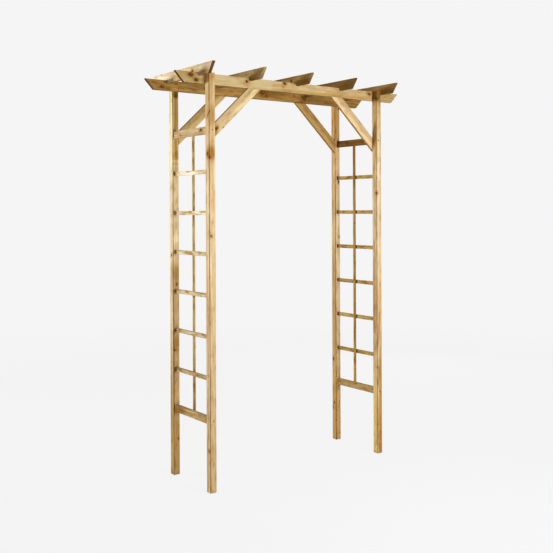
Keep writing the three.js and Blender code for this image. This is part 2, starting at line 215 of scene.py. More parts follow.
class Effect(NodeWriter):
    """The writer of a shared effect, a node group that reads a vector and gives masks."""

    def __init__(
        self, name: str, inputs: dict[str, float | tuple], outputs: tuple[str, ...], kind: str = "Float",
    ) -> None:
        """Starts the group.

        Args:
            name: The group's name.
            inputs: The defaults of the inputs besides the vector, by name.
            outputs: The names of the outputs.
            kind: The kind of the outputs.
        """
        super().__init__(bpy.data.node_groups.new(name, "ShaderNodeTree"))
        kinds = {1: "Float", 3: "Vector", 4: "Color"}
        for label, default in {"Vector": ORIGIN, **inputs}.items():
            size = 1 if isinstance(default, float) else len(default)
            self.socket(label, "INPUT", kinds[size]).default_value = default
        for label in outputs:
            self.socket(label, "OUTPUT", kind)
        self.given = self.tree.nodes.new("NodeGroupInput").outputs
        self.end = self.tree.nodes.new("NodeGroupOutput").inputs

    def socket(self, name: str, way: str, kind: str) -> bpy.types.NodeTreeInterfaceSocket:
        """Adds a socket to the group's interface."""
        return self.tree.interface.new_socket(name=name, in_out=way, socket_type="NodeSocket" + kind)

    def give(self, values: dict[str, Socket]) -> bpy.types.NodeTree:
        """Feeds the group's outputs and returns the group."""
        self.feed(self.end, values)
        return self.tree


class WoodGroups:
    """The effects that every pine board shares, each one a node group built once.

    The first constants say how many lumps a metre has across, through and along the grain. The
    oval is how much a knot is stretched in these directions, and the last lengths are in metres.
    """

    PITH_DRIFT = (5, 5, 1.7)
    RING_EDGE = (120, 120, 7)
    BROKEN_BARK = (160, 160, 90)
    BROAD_STREAKS = (85, 85, 2.6)
    FINE_PORES = (900, 900, 16)
    MOTTLES = (60, 60, 17)
    SLOW_PATCHES = (14, 14, 4.5)
    SAW_MARKS = (60, 900, 900)
    HEIGHT_LUMPS = (9, 9, 3)
    EDGE_WEAR = (300, 300, 40)
    CRACK_CELLS = (110, 110, 4.5)
    CRACKED_AREAS = (20, 20, 5)
    KNOT_OVAL = (0.72, 0.72, 1.0)
    OUTLINE_LUMPS = 230.0
    BELTS_A_METRE = 75.0
    RING_RAGGEDNESS = 0.0014
    KNOT_RAGGEDNESS = 0.006
    KNOT_OUTLINE_SHIFT = 0.0018
    HEIGHT_RAGGEDNESS = 0.3
    TOP_REACH = 0.6
    FOOT_REACH = 0.75

    def __init__(self) -> None:
        """Builds the groups."""
        self.rings = self.growth_rings()
        self.knot = self.branch_knot()
        self.fibres = self.fibre_streaks()
        self.sawn = self.sawn_faces()
        self.heights = self.height_tone()
        self.edges = self.eased_edges()
        self.checks = self.drying_checks()
        self.stain_and_light = self.soft_stain_and_light()

    def growth_rings(self) -> bpy.types.NodeTree:
        """Builds the rings round a leaning, wandering pith, which show as grain on long faces.

        Returns:
            The group, with the dark late wood, each year's own strength and belts of years.
        """
        defaults = {
            "Seed": ORIGIN, "Pith": (0.02, 0.03, 0.0), "Lean": (0.01, 0.01, 0.0), "Ring Width": 0.005,
            "Wander": 0.02, "Swirl": 0.0,
        }
        write = Effect("growth_rings", defaults, ("Late Wood", "Year", "Belt"))
        given = write.given
        seeded = write.vector("ADD", write.stretch(given["Vector"], self.PITH_DRIFT), given["Seed"])
        slow = write.node("TexNoise", {"Vector": seeded, "Scale": 1.0, "Detail": 2.0}).outputs["Color"]
        drift = write.scale(write.vector("SUBTRACT", slow, (0.5, 0.5, 0.5)), given["Wander"])
        leaning = write.scale(given["Lean"], write.split(given["Vector"])[2])
        placed = write.vector("ADD", write.vector("SUBTRACT", given["Vector"], given["Pith"]), drift)
        radius = write.measure("LENGTH", write.stretch(write.vector("ADD", placed, leaning), (1, 1, 0)))
        ragged = write.lumps(given["Vector"], self.RING_EDGE, 3.0)
        uneven = write.times_plus(ragged, self.RING_RAGGEDNESS, radius)
        swirled = write.math("ADD", uneven, given["Swirl"])
        years = write.math("DIVIDE", swirled, given["Ring Width"])
        within = write.math("FRACT", years)
        lottery = write.node("TexWhiteNoise", {"W": write.math("FLOOR", years)}, noise_dimensions="1D")
        belts = {"W": write.times(swirled, self.BELTS_A_METRE), "Scale": 1.0, "Detail": 2.0}
        return write.give({
            "Late Wood": write.times(write.smooth(within, 0.3, 0.86), write.smooth(within, 1.0, 0.9)),
            "Year": lottery.outputs[0],
            "Belt": write.node("TexNoise", belts, noise_dimensions="1D").outputs[0],
        })

    def branch_knot(self) -> bpy.types.NodeTree:
        """Builds one knot: a branch that runs through the board, with its bark and swirl.

        Returns:
            The group, which adds its knot to what the knots before it gave.
        """
        outputs = ("Core", "Bark", "Halo", "Swirl")
        defaults = {"Centre": ORIGIN, "Branch": (1.0, 0.0, 0.0), "Radius": 0.006, "Ragged": 0.5}
        write = Effect("branch_knot", {**defaults, **{name + " In": 0.0 for name in outputs}}, outputs)
        given = write.given
        reach = write.vector("SUBTRACT", given["Vector"], given["Centre"])
        across = write.vector("CROSS_PRODUCT", reach, given["Branch"])
        away = write.measure("LENGTH", write.stretch(across, self.KNOT_OVAL))
        shifted = write.math("SUBTRACT", away, self.KNOT_OUTLINE_SHIFT)
        uneven = write.times_plus(given["Ragged"], self.KNOT_RAGGEDNESS, shifted)
        share = write.math("DIVIDE", uneven, given["Radius"])
        bark = write.times(write.smooth(share, 0.6, 0.95), write.smooth(share, 1.5, 1.15))
        bark = write.times(bark, write.smooth(write.lumps(reach, self.BROKEN_BARK), 0.34, 0.56))
        halo = write.smooth(share, 3.6, 1.0)
        swirl = write.times(write.math("POWER", halo, 2.0), given["Radius"])
        masks = {"Core": write.smooth(share, 1.15, 0.9), "Bark": bark, "Halo": halo}
        made = {name: write.math("MAXIMUM", mask, given[name + " In"]) for name, mask in masks.items()}
        return write.give({**made, "Swirl": write.math("ADD", swirl, given["Swirl In"])})

    def fibre_streaks(self) -> bpy.types.NodeTree:
        """Builds long streaks along the grain, fine pores, mottles and slow patches.

        Returns:
            The group, with each of them as an output, and a fine raggedness for outlines.
        """
        outputs = ("Broad", "Fine", "Mottle", "Patch", "Ragged")
        write = Effect("fibre_streaks", {"Seed": ORIGIN}, outputs)
        moved = write.vector("ADD", write.given["Vector"], write.given["Seed"])
        return write.give({
            "Broad": write.lumps(moved, self.BROAD_STREAKS, 3.0, 0.55),
            "Fine": write.lumps(moved, self.FINE_PORES, 2.0, 0.6),
            "Mottle": write.lumps(moved, self.MOTTLES, 3.0, 0.6),
            "Patch": write.lumps(moved, self.SLOW_PATCHES),
            "Ragged": write.noise(moved, self.OUTLINE_LUMPS),
        })

    def sawn_faces(self) -> bpy.types.NodeTree:
        """Builds the masks of sawn ends, narrow sides and a side with painted light, and the saw's
        marks.

        Returns:
            The group, with the three masks and the marks as outputs.
        """
        defaults = {"Facing": (0.0, 0.0, 1.0), "Narrow Side": ORIGIN, "Painted Light Side": ORIGIN}
        write = Effect("sawn_faces", defaults, ("End", "Narrow", "Painted Light", "Saw"))
        given = write.given
        ends = write.smooth(write.math("ABSOLUTE", write.split(given["Facing"])[2]), 0.45, 0.6)
        sideways = write.measure("DOT_PRODUCT", given["Facing"], given["Narrow Side"])
        narrow = write.smooth(write.math("ABSOLUTE", sideways), 0.7, 0.9)
        towards = write.measure("DOT_PRODUCT", given["Facing"], given["Painted Light Side"])
        marks = write.lumps(given["Vector"], self.SAW_MARKS)
        return write.give({
            "End": ends,
            "Narrow": narrow,
            "Painted Light": write.smooth(towards, 0.4, 0.9),
            "Saw": write.times(marks, write.math("MAXIMUM", ends, narrow)),
        })

    def height_tone(self) -> bpy.types.NodeTree:
        """Builds the masks of the parts near the top and near the foot.

        Returns:
            The group, with the two masks as its outputs.
        """
        write = Effect("height_tone", {"Top Start": 1.45, "Foot Start": 0.95}, ("Top", "Foot"))
        given = write.given
        lumps = write.lumps(given["Vector"], self.HEIGHT_LUMPS)
        height = write.times_plus(lumps, self.HEIGHT_RAGGEDNESS, write.split(given["Vector"])[2])
        height = write.math("SUBTRACT", height, self.HEIGHT_RAGGEDNESS / 2)
        top_full = write.math("ADD", given["Top Start"], self.TOP_REACH)
        foot_full = write.math("SUBTRACT", given["Foot Start"], self.FOOT_REACH)
        return write.give({
            "Top": write.smooth(height, given["Top Start"], top_full),
            "Foot": write.smooth(height, given["Foot Start"], foot_full),
        })

    def eased_edges(self) -> bpy.types.NodeTree:
        """Builds the masks of the eased edges and of the one long edge that gets painted shade.

        Returns:
            The group, with the mask of all long edges and of the one with painted shade as outputs.
        """
        defaults = {"Half Size": (0.02, 0.02, 1.0), "Shaded Corner": (-1.0, -1.0, 0.0), "Width": 0.003}
        write = Effect("eased_edges", defaults, ("Edge", "Corner"))
        given = write.given
        inside = write.vector("SUBTRACT", given["Half Size"], write.vector("ABSOLUTE", given["Vector"]))
        nearest = write.math("MAXIMUM", *write.split(inside)[:2])
        ragged = write.lumps(given["Vector"], self.EDGE_WEAR)
        width = write.times(given["Width"], write.math("ADD", ragged, 0.5))
        edge = write.smooth(write.math("DIVIDE", nearest, width), 1.0, 0.35)
        sides = write.split(write.vector("MULTIPLY", given["Vector"], given["Shaded Corner"]))
        corner = write.math("GREATER_THAN", write.math("MINIMUM", *sides[:2]), 0)
        return write.give({"Edge": edge, "Corner": write.times(edge, corner)})

    def drying_checks(self) -> bpy.types.NodeTree:
        """Builds thin cracks along the grain, as dried pine has.

        Returns:
            The group, with the crack mask as its output.
        """
        write = Effect("drying_checks", {"Amount": 0.4}, ("Check",))
        cells = {"Vector": write.stretch(write.given["Vector"], self.CRACK_CELLS), "Scale": 1.0}
        cracks = write.node("TexVoronoi", cells, feature="DISTANCE_TO_EDGE").outputs["Distance"]
        where = write.lumps(write.given["Vector"], self.CRACKED_AREAS)
        chosen = write.math("GREATER_THAN", where, write.math("SUBTRACT", 1.0, write.given["Amount"]))
        return write.give({"Check": write.times(write.smooth(cracks, 0.018, 0.004), chosen)})

    def soft_stain_and_light(self) -> bpy.types.NodeTree:
        """Builds one soft darker or paler area, for the wood's own tone and for painted light and shade.

        Returns:
            The group, which tones the colour that comes in.
        """
        defaults = {
            "Centre": ORIGIN, "Reach": (0.02, 0.02, 0.05), "Ragged": 0.5, "Tone": WHITE,
            "Colour In": WHITE,
        }
        write = Effect("soft_stain_and_light", defaults, ("Colour",), "Color")
        given = write.given
        away = write.vector("SUBTRACT", given["Vector"], given["Centre"])
        share = write.measure("LENGTH", write.vector("DIVIDE", away, given["Reach"]))
        uneven = write.times_plus(given["Ragged"], 0.9, write.math("SUBTRACT", share, 0.45))
        mask = write.smooth(uneven, 1.15, 0.35)
        return write.give({"Colour": write.tint(given["Colour In"], mask, given["Tone"])})


@dataclass(frozen=True)
class Knot:
    """A knot that shows in a board.

    Attributes:
        place: Where the branch meets the board's face, in metres in the arch.
        branch: The way the branch runs through the board.
        radius: The knot's radius in metres.
    """

    place: Triple
    branch: Triple
    radius: float


@dataclass(frozen=True)
class StainAndPaintedLight:
    """A soft darker or paler area of a board, for the wood's own tone and for painted light and shade.

    Attributes:
        place: Its middle, in metres in the arch.
        reach: How far it goes across, through and along the board's grain, in metres.
        tone: The colour that the wood is multiplied by in its middle.
    """

    place: Triple
    reach: Triple
    tone: Colour


@dataclass(frozen=True)
class Board:
    """One board of the arch and how its wood differs from the others.

    Attributes:
        node: The name of its solid.
        grain: The way its grain runs.
        tone: A colour that its wood is multiplied by.
        figure: How strongly its grain shows, as a share of the finish's own.
        streaks: How strong its long streaks are.
        greying: How strong its grey patches are.
        heartwood: How strong its orange patches of heartwood are.
        checks: How much of it has drying cracks.
        top_tone: The colour that it is multiplied by near the top of the arch, partly painted light.
        foot_tone: The colour that it is multiplied by near the ground, partly painted light.
        narrow_side: The way its darker narrow sides face, in its own directions.
        painted_light_side: The way the side that gets painted light faces, in the arch's directions.
        painted_light_tone: The colour that this side is multiplied by: painted light where paler,
            painted shade where darker.
        end_tone: The colour that its sawn ends are multiplied by.
        knots: The knots listed one by one.
        chance_knots: How many knots of chance it has, as a share of the usual number.
        stains_and_light: The soft darker or paler areas, the wood's own and painted light and shade.
        section: Its width and thickness in metres, where its box doesn't give them.
    """

    node: str
    grain: Grain
    tone: Colour = WHITE
    figure: float = 1.0
    streaks: float = 0.3
    greying: float = 0.25
    heartwood: float = 0.35
    checks: float = 0.25
    top_tone: Colour = WHITE
    foot_tone: Colour = WHITE
    narrow_side: Triple = ORIGIN
    painted_light_side: Triple = ORIGIN
    painted_light_tone: Colour = WHITE
    end_tone: Colour = srgb(150, 118, 74)
    knots: tuple[Knot, ...] = ()
    chance_knots: float = 1.0
    stains_and_light: tuple[StainAndPaintedLight, ...] = ()
    section: tuple[float, float] | None = None


@dataclass(frozen=True)
class PineFinish:
    """Planed, unpainted pine.

    Attributes:
        early: The pale early wood of each year.
        late: The darker late wood of each year.
        ring_width: How wide a year's ring is, in metres.
        figure: How strongly the late wood shows, from 0 to 1.
        belts: How strongly belts of darker years show, from 0 to 1.
        mottles: How strongly the small mottles show, from 0 to 1.
        edge: How much the eased edges darken.
        corner: How much more painted shade darkens one long edge.
        edge_width: How far from a corner they are darker, in metres.
        knot_step: Metres between the knots of chance.
        knot_radius: The largest knot of chance, in metres.
        roughness: How dull the planed face is.
        gloss: How strongly it mirrors, as the shader's specular level.
    """

    early: Colour = srgb(236, 217, 180)
    late: Colour = srgb(200, 166, 110)
    ring_width: float = 0.006
    figure: float = 0.6
    belts: float = 0.45
    mottles: float = 0.5
    edge: float = 0.25
    corner: float = 0.0
    edge_width: float = 0.003
    knot_step: float = 0.5
    knot_radius: float = 0.006
    roughness: float = 0.78
    gloss: float = 0.06

    def material(self, board: Board, groups: WoodGroups) -> bpy.types.Material:
        """Makes the board's own material."""
        return PineShader(self, board, groups).build()


class PineShader:
    """The material of one board, written step by step.

    The colours are what the wood is multiplied by or turns into there. Lengths are in metres,
    and the lean and the slope are metres aside for a metre along the grain or the branch.
    """

    KNOT_CORE = srgb(106, 74, 32)
    KNOT_BARK = srgb(66, 42, 18)
    KNOT_HALO = srgb(204, 166, 106)
    NARROW_TONE = srgb(158, 132, 90)
    EDGE_TONE = srgb(128, 96, 52)
    HEARTWOOD = srgb(226, 190, 130)
    CRACK = srgb(66, 44, 22)
    GREY = srgb(184, 176, 138)
    NEAREST_PITH = 0.03
    FARTHEST_PITH = 0.06
    PITH_ASIDE_SHARE = 0.4
    PITH_CORNER_SHARE = 0.8
    FLAT_SHARE = 0.8
    LARGEST_LEAN = 0.03
    NARROWEST_RING_SHARE = 0.8
    WIDEST_RING_SHARE = 1.3
    KNOT_SPREAD_SHARE = 0.6
    SMALLEST_KNOT_SHARE = 0.35
    BRANCH_SLOPE = 0.15
    PORE_DULLNESS = 0.16
    LATE_WOOD_DULLNESS = -0.08
    SAWN_END_DULLNESS = 0.2
    RELIEF_DEPTH = 0.0005

    def __init__(self, finish: PineFinish, board: Board, groups: WoodGroups) -> None:
        """Starts the material and places the shared effects in the board's own directions.

        Args:
            finish: The finish of the board.
            board: The board that the material goes on.
            groups: The shared wood effects.
        """
        self.finish = finish
        self.board = board
        self.groups = groups
        self.material = bpy.data.materials.new("pine_" + board.node)
        self.material.use_nodes = True
        self.write = NodeWriter(self.material.node_tree)
        self.chance = random.Random(board.node)
        low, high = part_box(board.node)
        self.centre = (low + high) / 2
        turn = Euler(board.grain.value)
        self.unturn = turn.to_matrix().transposed()
        self.half = self.half_size((high - low) / 2)

        source = self.write.node("TexCoord").outputs
        mapped = {"Vector": source["Object"], "Location": self.centre, "Rotation": turn}
        self.along = self.write.node("Mapping", mapped, vector_type="TEXTURE").outputs[0]
        mapped = {"Vector": source["Normal"], "Rotation": turn}
        facing = self.write.node("Mapping", mapped, vector_type="TEXTURE").outputs[0]
        shift = Vector([self.chance.uniform(0, 9) for _ in range(3)])
        self.fibres = self.effect(groups.fibres, {"Seed": shift})
        self.knots = self.branch_knots()
        self.rings = self.effect(groups.rings, {
            "Seed": shift,
            "Pith": self.pith(),
            "Lean": (self.lean(), self.lean(), 0),
            "Ring Width": finish.ring_width * self.chance.uniform(
                self.NARROWEST_RING_SHARE, self.WIDEST_RING_SHARE,
            ),
            "Swirl": self.knots["Swirl"],
        })
        year = self.write.times_plus(self.rings["Year"], 0.5, 0.5)
        self.late = self.write.times(self.rings["Late Wood"], year)
        self.sawn = self.effect(groups.sawn, {
            "Facing": facing,
            "Narrow Side": board.narrow_side,
            "Painted Light Side": self.unturn @ Vector(board.painted_light_side),
        })
        self.heights = self.effect(groups.heights, {"Vector": source["Object"]})
        self.edges = self.effect(groups.edges, {"Half Size": self.half, "Width": finish.edge_width})
        shifted = self.write.vector("ADD", self.along, shift)
        self.checks = self.effect(groups.checks, {"Vector": shifted, "Amount": board.checks})

    def effect(self, group: bpy.types.NodeTree, values: dict) -> bpy.types.bpy_prop_collection:
        """Places a shared effect on the board's own coordinates and returns its outputs."""
        return self.write.group(group, {"Vector": self.along, **values})

    def half_size(self, half_box: Vector) -> Vector:
        """Gives the board's half size in its own directions, across and along the grain.

        Args:
            half_box: Half the size of the board's box in the arch's directions.

        Returns:
            Half its width, half its depth and half its length, in metres.
        """
        own = self.unturn @ half_box
        if self.board.section:
            return Vector((self.board.section[0] / 2, self.board.section[1] / 2, abs(own.z)))
        return Vector((abs(own.x), abs(own.y), abs(own.z)))

    def lean(self) -> float:
        """Chooses how far the pith leans to one side, as a share of the length."""
        return self.chance.uniform(-self.LARGEST_LEAN, self.LARGEST_LEAN)

    def pith(self) -> Triple:
        """Chooses where the pith runs, so that wide faces show long arcs of grain.

        Returns:
            The pith's place in the board's own directions, in metres.
        """
        half = self.half
        side = self.chance.choice((-1, 1))
        reach = self.chance.uniform(self.NEAREST_PITH, self.FARTHEST_PITH)
        aside = self.chance.uniform(-self.PITH_ASIDE_SHARE, self.PITH_ASIDE_SHARE)
        if half.x < half.y * self.FLAT_SHARE:
            return side * reach, aside * half.y, 0
        if half.y < half.x * self.FLAT_SHARE:
            return aside * half.x, side * reach, 0
        angle = self.chance.uniform(0, math.tau)
        share = self.PITH_CORNER_SHARE
        return math.cos(angle) * reach * share, math.sin(angle) * reach * share, 0

    def chance_knots(self) -> list[tuple[Vector, Vector, float]]:
        """Chooses the knots of chance.

        Returns:
            The place, the branch and the radius of each, in the board's own directions.
        """
        chance = self.chance
        half = self.half
        spread = self.KNOT_SPREAD_SHARE
        step_length = self.finish.knot_step
        share = self.board.chance_knots
        chosen = []
        for step in range(int(2 * half.z / step_length * share)):
            angle = chance.uniform(0, math.tau)
            where = Vector((
                chance.uniform(-spread, spread) * half.x,
                chance.uniform(-spread, spread) * half.y,
                -half.z + (step + chance.uniform(0.2, 0.8)) * step_length / share,
            ))
            branch = Vector((math.cos(angle), math.sin(angle), self.BRANCH_SLOPE))
            radius = self.finish.knot_radius * chance.uniform(self.SMALLEST_KNOT_SHARE, 1.0)
            chosen.append((where, branch, radius))
        return chosen

    def branch_knots(self) -> dict[str, Input]:
        """Adds the board's own knots and some of chance.

        Returns:
            The knots' cores, barks, halos and swirls by name.
        """
        placed = [
            (self.own(knot.place), self.unturn @ Vector(knot.branch), knot.radius)
            for knot in self.board.knots
        ]
        given = {"Core": 0.0, "Bark": 0.0, "Halo": 0.0, "Swirl": 0.0}
        for where, branch, radius in placed + self.chance_knots():
            before = {name + " In": value for name, value in given.items()}
            outputs = self.effect(self.groups.knot, {
                "Centre": where, "Branch": branch.normalized(), "Radius": radius,
                "Ragged": self.fibres["Ragged"], **before,
            })
            given = {name: outputs[name] for name in given}
        return given

    def own(self, place: Triple) -> Vector:
        """Turns a place in the arch into the board's own directions."""
        return self.unturn @ (Vector(place) - self.centre)

    def tinted(self, colour: Socket, *steps: tuple[Socket, float, Colour]) -> Socket:
        """Tints a colour step by step.

        Args:
            colour: The colour before the steps.
            *steps: The mask, the strength and the tone of each step.

        Returns:
            The colour after the steps.
        """
        for mask, strength, tone in steps:
            colour = self.write.tint(colour, self.write.times(mask, strength), tone)
        return colour

    def wood_colour(self) -> Socket:
        """Colours the wood with its rings, streaks, mottles and patches.

        Returns:
            The colour before stains, knots and wear.
        """
        write = self.write
        finish = self.finish
        board = self.board
        fibres = self.fibres
        share = write.times(self.late, finish.figure * board.figure)
        colour = self.tinted(
            write.blend(share, finish.early, finish.late),
            (write.smooth(self.rings["Belt"], 0.4, 0.68), finish.belts * board.figure, finish.late),
            (write.smooth(fibres["Broad"], 0.4, 0.72), board.streaks, finish.late),
            (write.smooth(fibres["Mottle"], 0.5, 0.68), finish.mottles, finish.late),
        )
        pale = write.times(write.smooth(fibres["Mottle"], 0.47, 0.33), finish.mottles * 0.6)
        colour = self.tinted(
            write.blend(pale, colour, finish.early),
            (write.smooth(fibres["Patch"], 0.5, 0.36), board.greying, self.GREY),
            (write.smooth(fibres["Patch"], 0.52, 0.68), board.heartwood, self.HEARTWOOD),
            (write.smooth(fibres["Fine"], 0.3, 0.8), 0.16, finish.late),
        )
        # The top and foot tones are partly painted light; the last tone is painted light on one side.
        shares = (1.0, self.heights["Top"], self.heights["Foot"], self.sawn["Painted Light"])
        tones = (board.tone, board.top_tone, board.foot_tone, board.painted_light_tone)
        for share, tone in zip(shares, tones):
            colour = write.tint(colour, share, tone)
        return colour

    def marked_colour(self, colour: Socket) -> Socket:
        """Adds soft areas and painted light, knots, sawn faces, worn edges, painted edge shade and
        cracks.

        Args:
            colour: The colour of the wood.

        Returns:
            The finished colour.
        """
        write = self.write
        for stain_and_light in self.board.stains_and_light:
            colour = self.effect(self.groups.stain_and_light, {
                "Centre": self.own(stain_and_light.place),
                "Reach": stain_and_light.reach,
                "Ragged": self.fibres["Mottle"],
                "Tone": stain_and_light.tone,
                "Colour In": colour,
            })["Colour"]
        colour = self.tinted(colour, (self.knots["Halo"], 0.75, self.KNOT_HALO))
        colour = write.blend(self.knots["Core"], colour, self.KNOT_CORE)
        colour = write.blend(self.knots["Bark"], colour, self.KNOT_BARK)
        colour = self.tinted(
            colour,
            (self.sawn["Narrow"], 0.9, self.NARROW_TONE),
            (self.sawn["End"], 0.95, self.board.end_tone),
        )
        # Wear on all eased edges, and painted shade along one long edge.
        wear_and_painted_shade = write.times(self.edges["Edge"], self.finish.edge)
        wear_and_painted_shade = write.times_plus(self.edges["Corner"], self.finish.corner, wear_and_painted_shade)
        colour = write.tint(colour, wear_and_painted_shade, self.EDGE_TONE)
        return write.blend(write.times(self.checks["Check"], 0.8), colour, self.CRACK)

    def build(self) -> bpy.types.Material:
        """Feeds the shader with the colour, the dullness and the fine relief.

        Returns:
            The material.
        """
        write = self.write
        shader = self.material.node_tree.nodes["Principled BSDF"]
        dull = self.finish.roughness - self.PORE_DULLNESS / 2
        dull = write.times_plus(self.fibres["Fine"], self.PORE_DULLNESS, dull)
        dull = write.times_plus(self.rings["Late Wood"], self.LATE_WOOD_DULLNESS, dull)
        dull = write.times_plus(self.sawn["End"], self.SAWN_END_DULLNESS, dull)
        height = write.times(self.late, 0.5)
        reliefs = (
            (self.fibres["Fine"], 0.25), (self.knots["Core"], 0.5), (self.sawn["Saw"], 1.2),
            (self.checks["Check"], -1.5),
        )
        for relief, strength in reliefs:
            height = write.times_plus(relief, strength, height)
        bump = write.node("Bump", {"Height": height, "Strength": 0.55, "Distance": self.RELIEF_DEPTH})
        write.feed(shader.inputs, {
            "Base Color": self.marked_colour(self.wood_colour()),
            "Roughness": dull,
            "Specular IOR Level": self.finish.gloss,
            "Normal": bump.outputs[0],
        })
        return self.material


@dataclass(frozen=True)
class ZincFinish:
    """Zinc-plated steel, passivated to a dull yellow, with a little rust.

    Attributes:
        plated: The colour of the clean plating.
        hazy: The colour of the plating where it is dulled.
        rusty: The colour where it has rusted.
        rust: How much of it has rusted, from 0 to 1.
    """

    plated: Colour = srgb(96, 80, 54)
    hazy: Colour = srgb(76, 62, 42)
    rusty: Colour = srgb(66, 42, 24)
    rust: float = 0.5

    PATTERN_TURN = Euler((0.4, 0.2, 0.7))
    RUST_LUMPS = 420.0
    HAZE_LUMPS = 1500.0
    RUST_STARTS = 0.72
    RUST_IS_FULL = 0.9
    RUST_SPREADS = 0.4
    HAZE_SHARE = 0.4
    CLEAN_DULLNESS = 0.38
    RUST_DULLNESS = 0.4
    RUST_METAL = -0.8
    RELIEF_DEPTH = 0.0002

    def material(self, name: str) -> bpy.types.Material:
        """Makes the material.

        Args:
            name: The material's name.

        Returns:
            The material.
        """
        made = bpy.data.materials.new(name)
        made.use_nodes = True
        write = NodeWriter(made.node_tree)
        place = write.node("TexCoord").outputs["Object"]
        turned = write.node("Mapping", {"Vector": place, "Rotation": self.PATTERN_TURN}).outputs[0]
        spots = write.noise(turned, self.RUST_LUMPS, 4.0, 0.6)
        spread = self.RUST_SPREADS * self.rust
        rusted = write.smooth(spots, self.RUST_STARTS - spread, self.RUST_IS_FULL - spread)
        haze = write.noise(turned, self.HAZE_LUMPS)
        clean = write.blend(write.times(haze, self.HAZE_SHARE), self.plated, self.hazy)
        height = write.times_plus(haze, 0.3, rusted)
        bump = write.node("Bump", {"Height": height, "Strength": 0.4, "Distance": self.RELIEF_DEPTH})
        write.feed(made.node_tree.nodes["Principled BSDF"].inputs, {
            "Base Color": write.blend(rusted, clean, self.rusty),
            "Metallic": write.times_plus(rusted, self.RUST_METAL, 1.0),
            "Roughness": write.times_plus(rusted, self.RUST_DULLNESS, self.CLEAN_DULLNESS),
            "Normal": bump.outputs[0],
        })
        return made


def knots_through(depth: float, rows: tuple[Triple, ...]) -> tuple[Knot, ...]:
    """Places knots that run straight through a board whose wide face looks along Y.

    Args:
        depth: Where the board's face lies, in metres along Y.
        rows: The place along X, the height and the radius of each, in metres.

    Returns:
        The knots.
    """
    return tuple(Knot((place, depth, height), (0, 1, 0), radius) for place, height, radius in rows)


def stains_and_light_through(depth: float, rows: tuple[tuple, ...]) -> tuple[StainAndPaintedLight, ...]:
    """Places soft areas that go right through a board whose wide face looks along Y.

    Args:
        depth: Where they lie, in metres along Y.
        rows: The place along X, the height, the reach across and along the grain and the tone of
            each.

    Returns:
        The soft areas, some of them painted light and shade.
    """
    return tuple(
        StainAndPaintedLight((place, depth, height), (across, THROUGH_REACH, along), tone)
        for place, height, across, along, tone in rows
    )


def dress(name: str, material: bpy.types.Material) -> None:
    """Puts a material on all of a solid's slots.

    Args:
        name: The solid's node name.
        material: The material.
    """
    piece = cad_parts[name]
    if not piece.material_slots:
        piece.data.materials.append(material)
    for slot in piece.material_slots:
        slot.material = material
    LOG.info("dressed %s", name)


def rung_names(side: str) -> list[str]:
    """Gives the names of one side's rungs, from the lowest up."""
    return [f"rung_{side}_{rung}" for rung in range(1, RUNG_COUNT + 1)]


def middle_of(node: str) -> Vector:
    """Gives the middle of a solid's box, in metres in the arch."""
    low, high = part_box(node)
    return (low + high) / 2


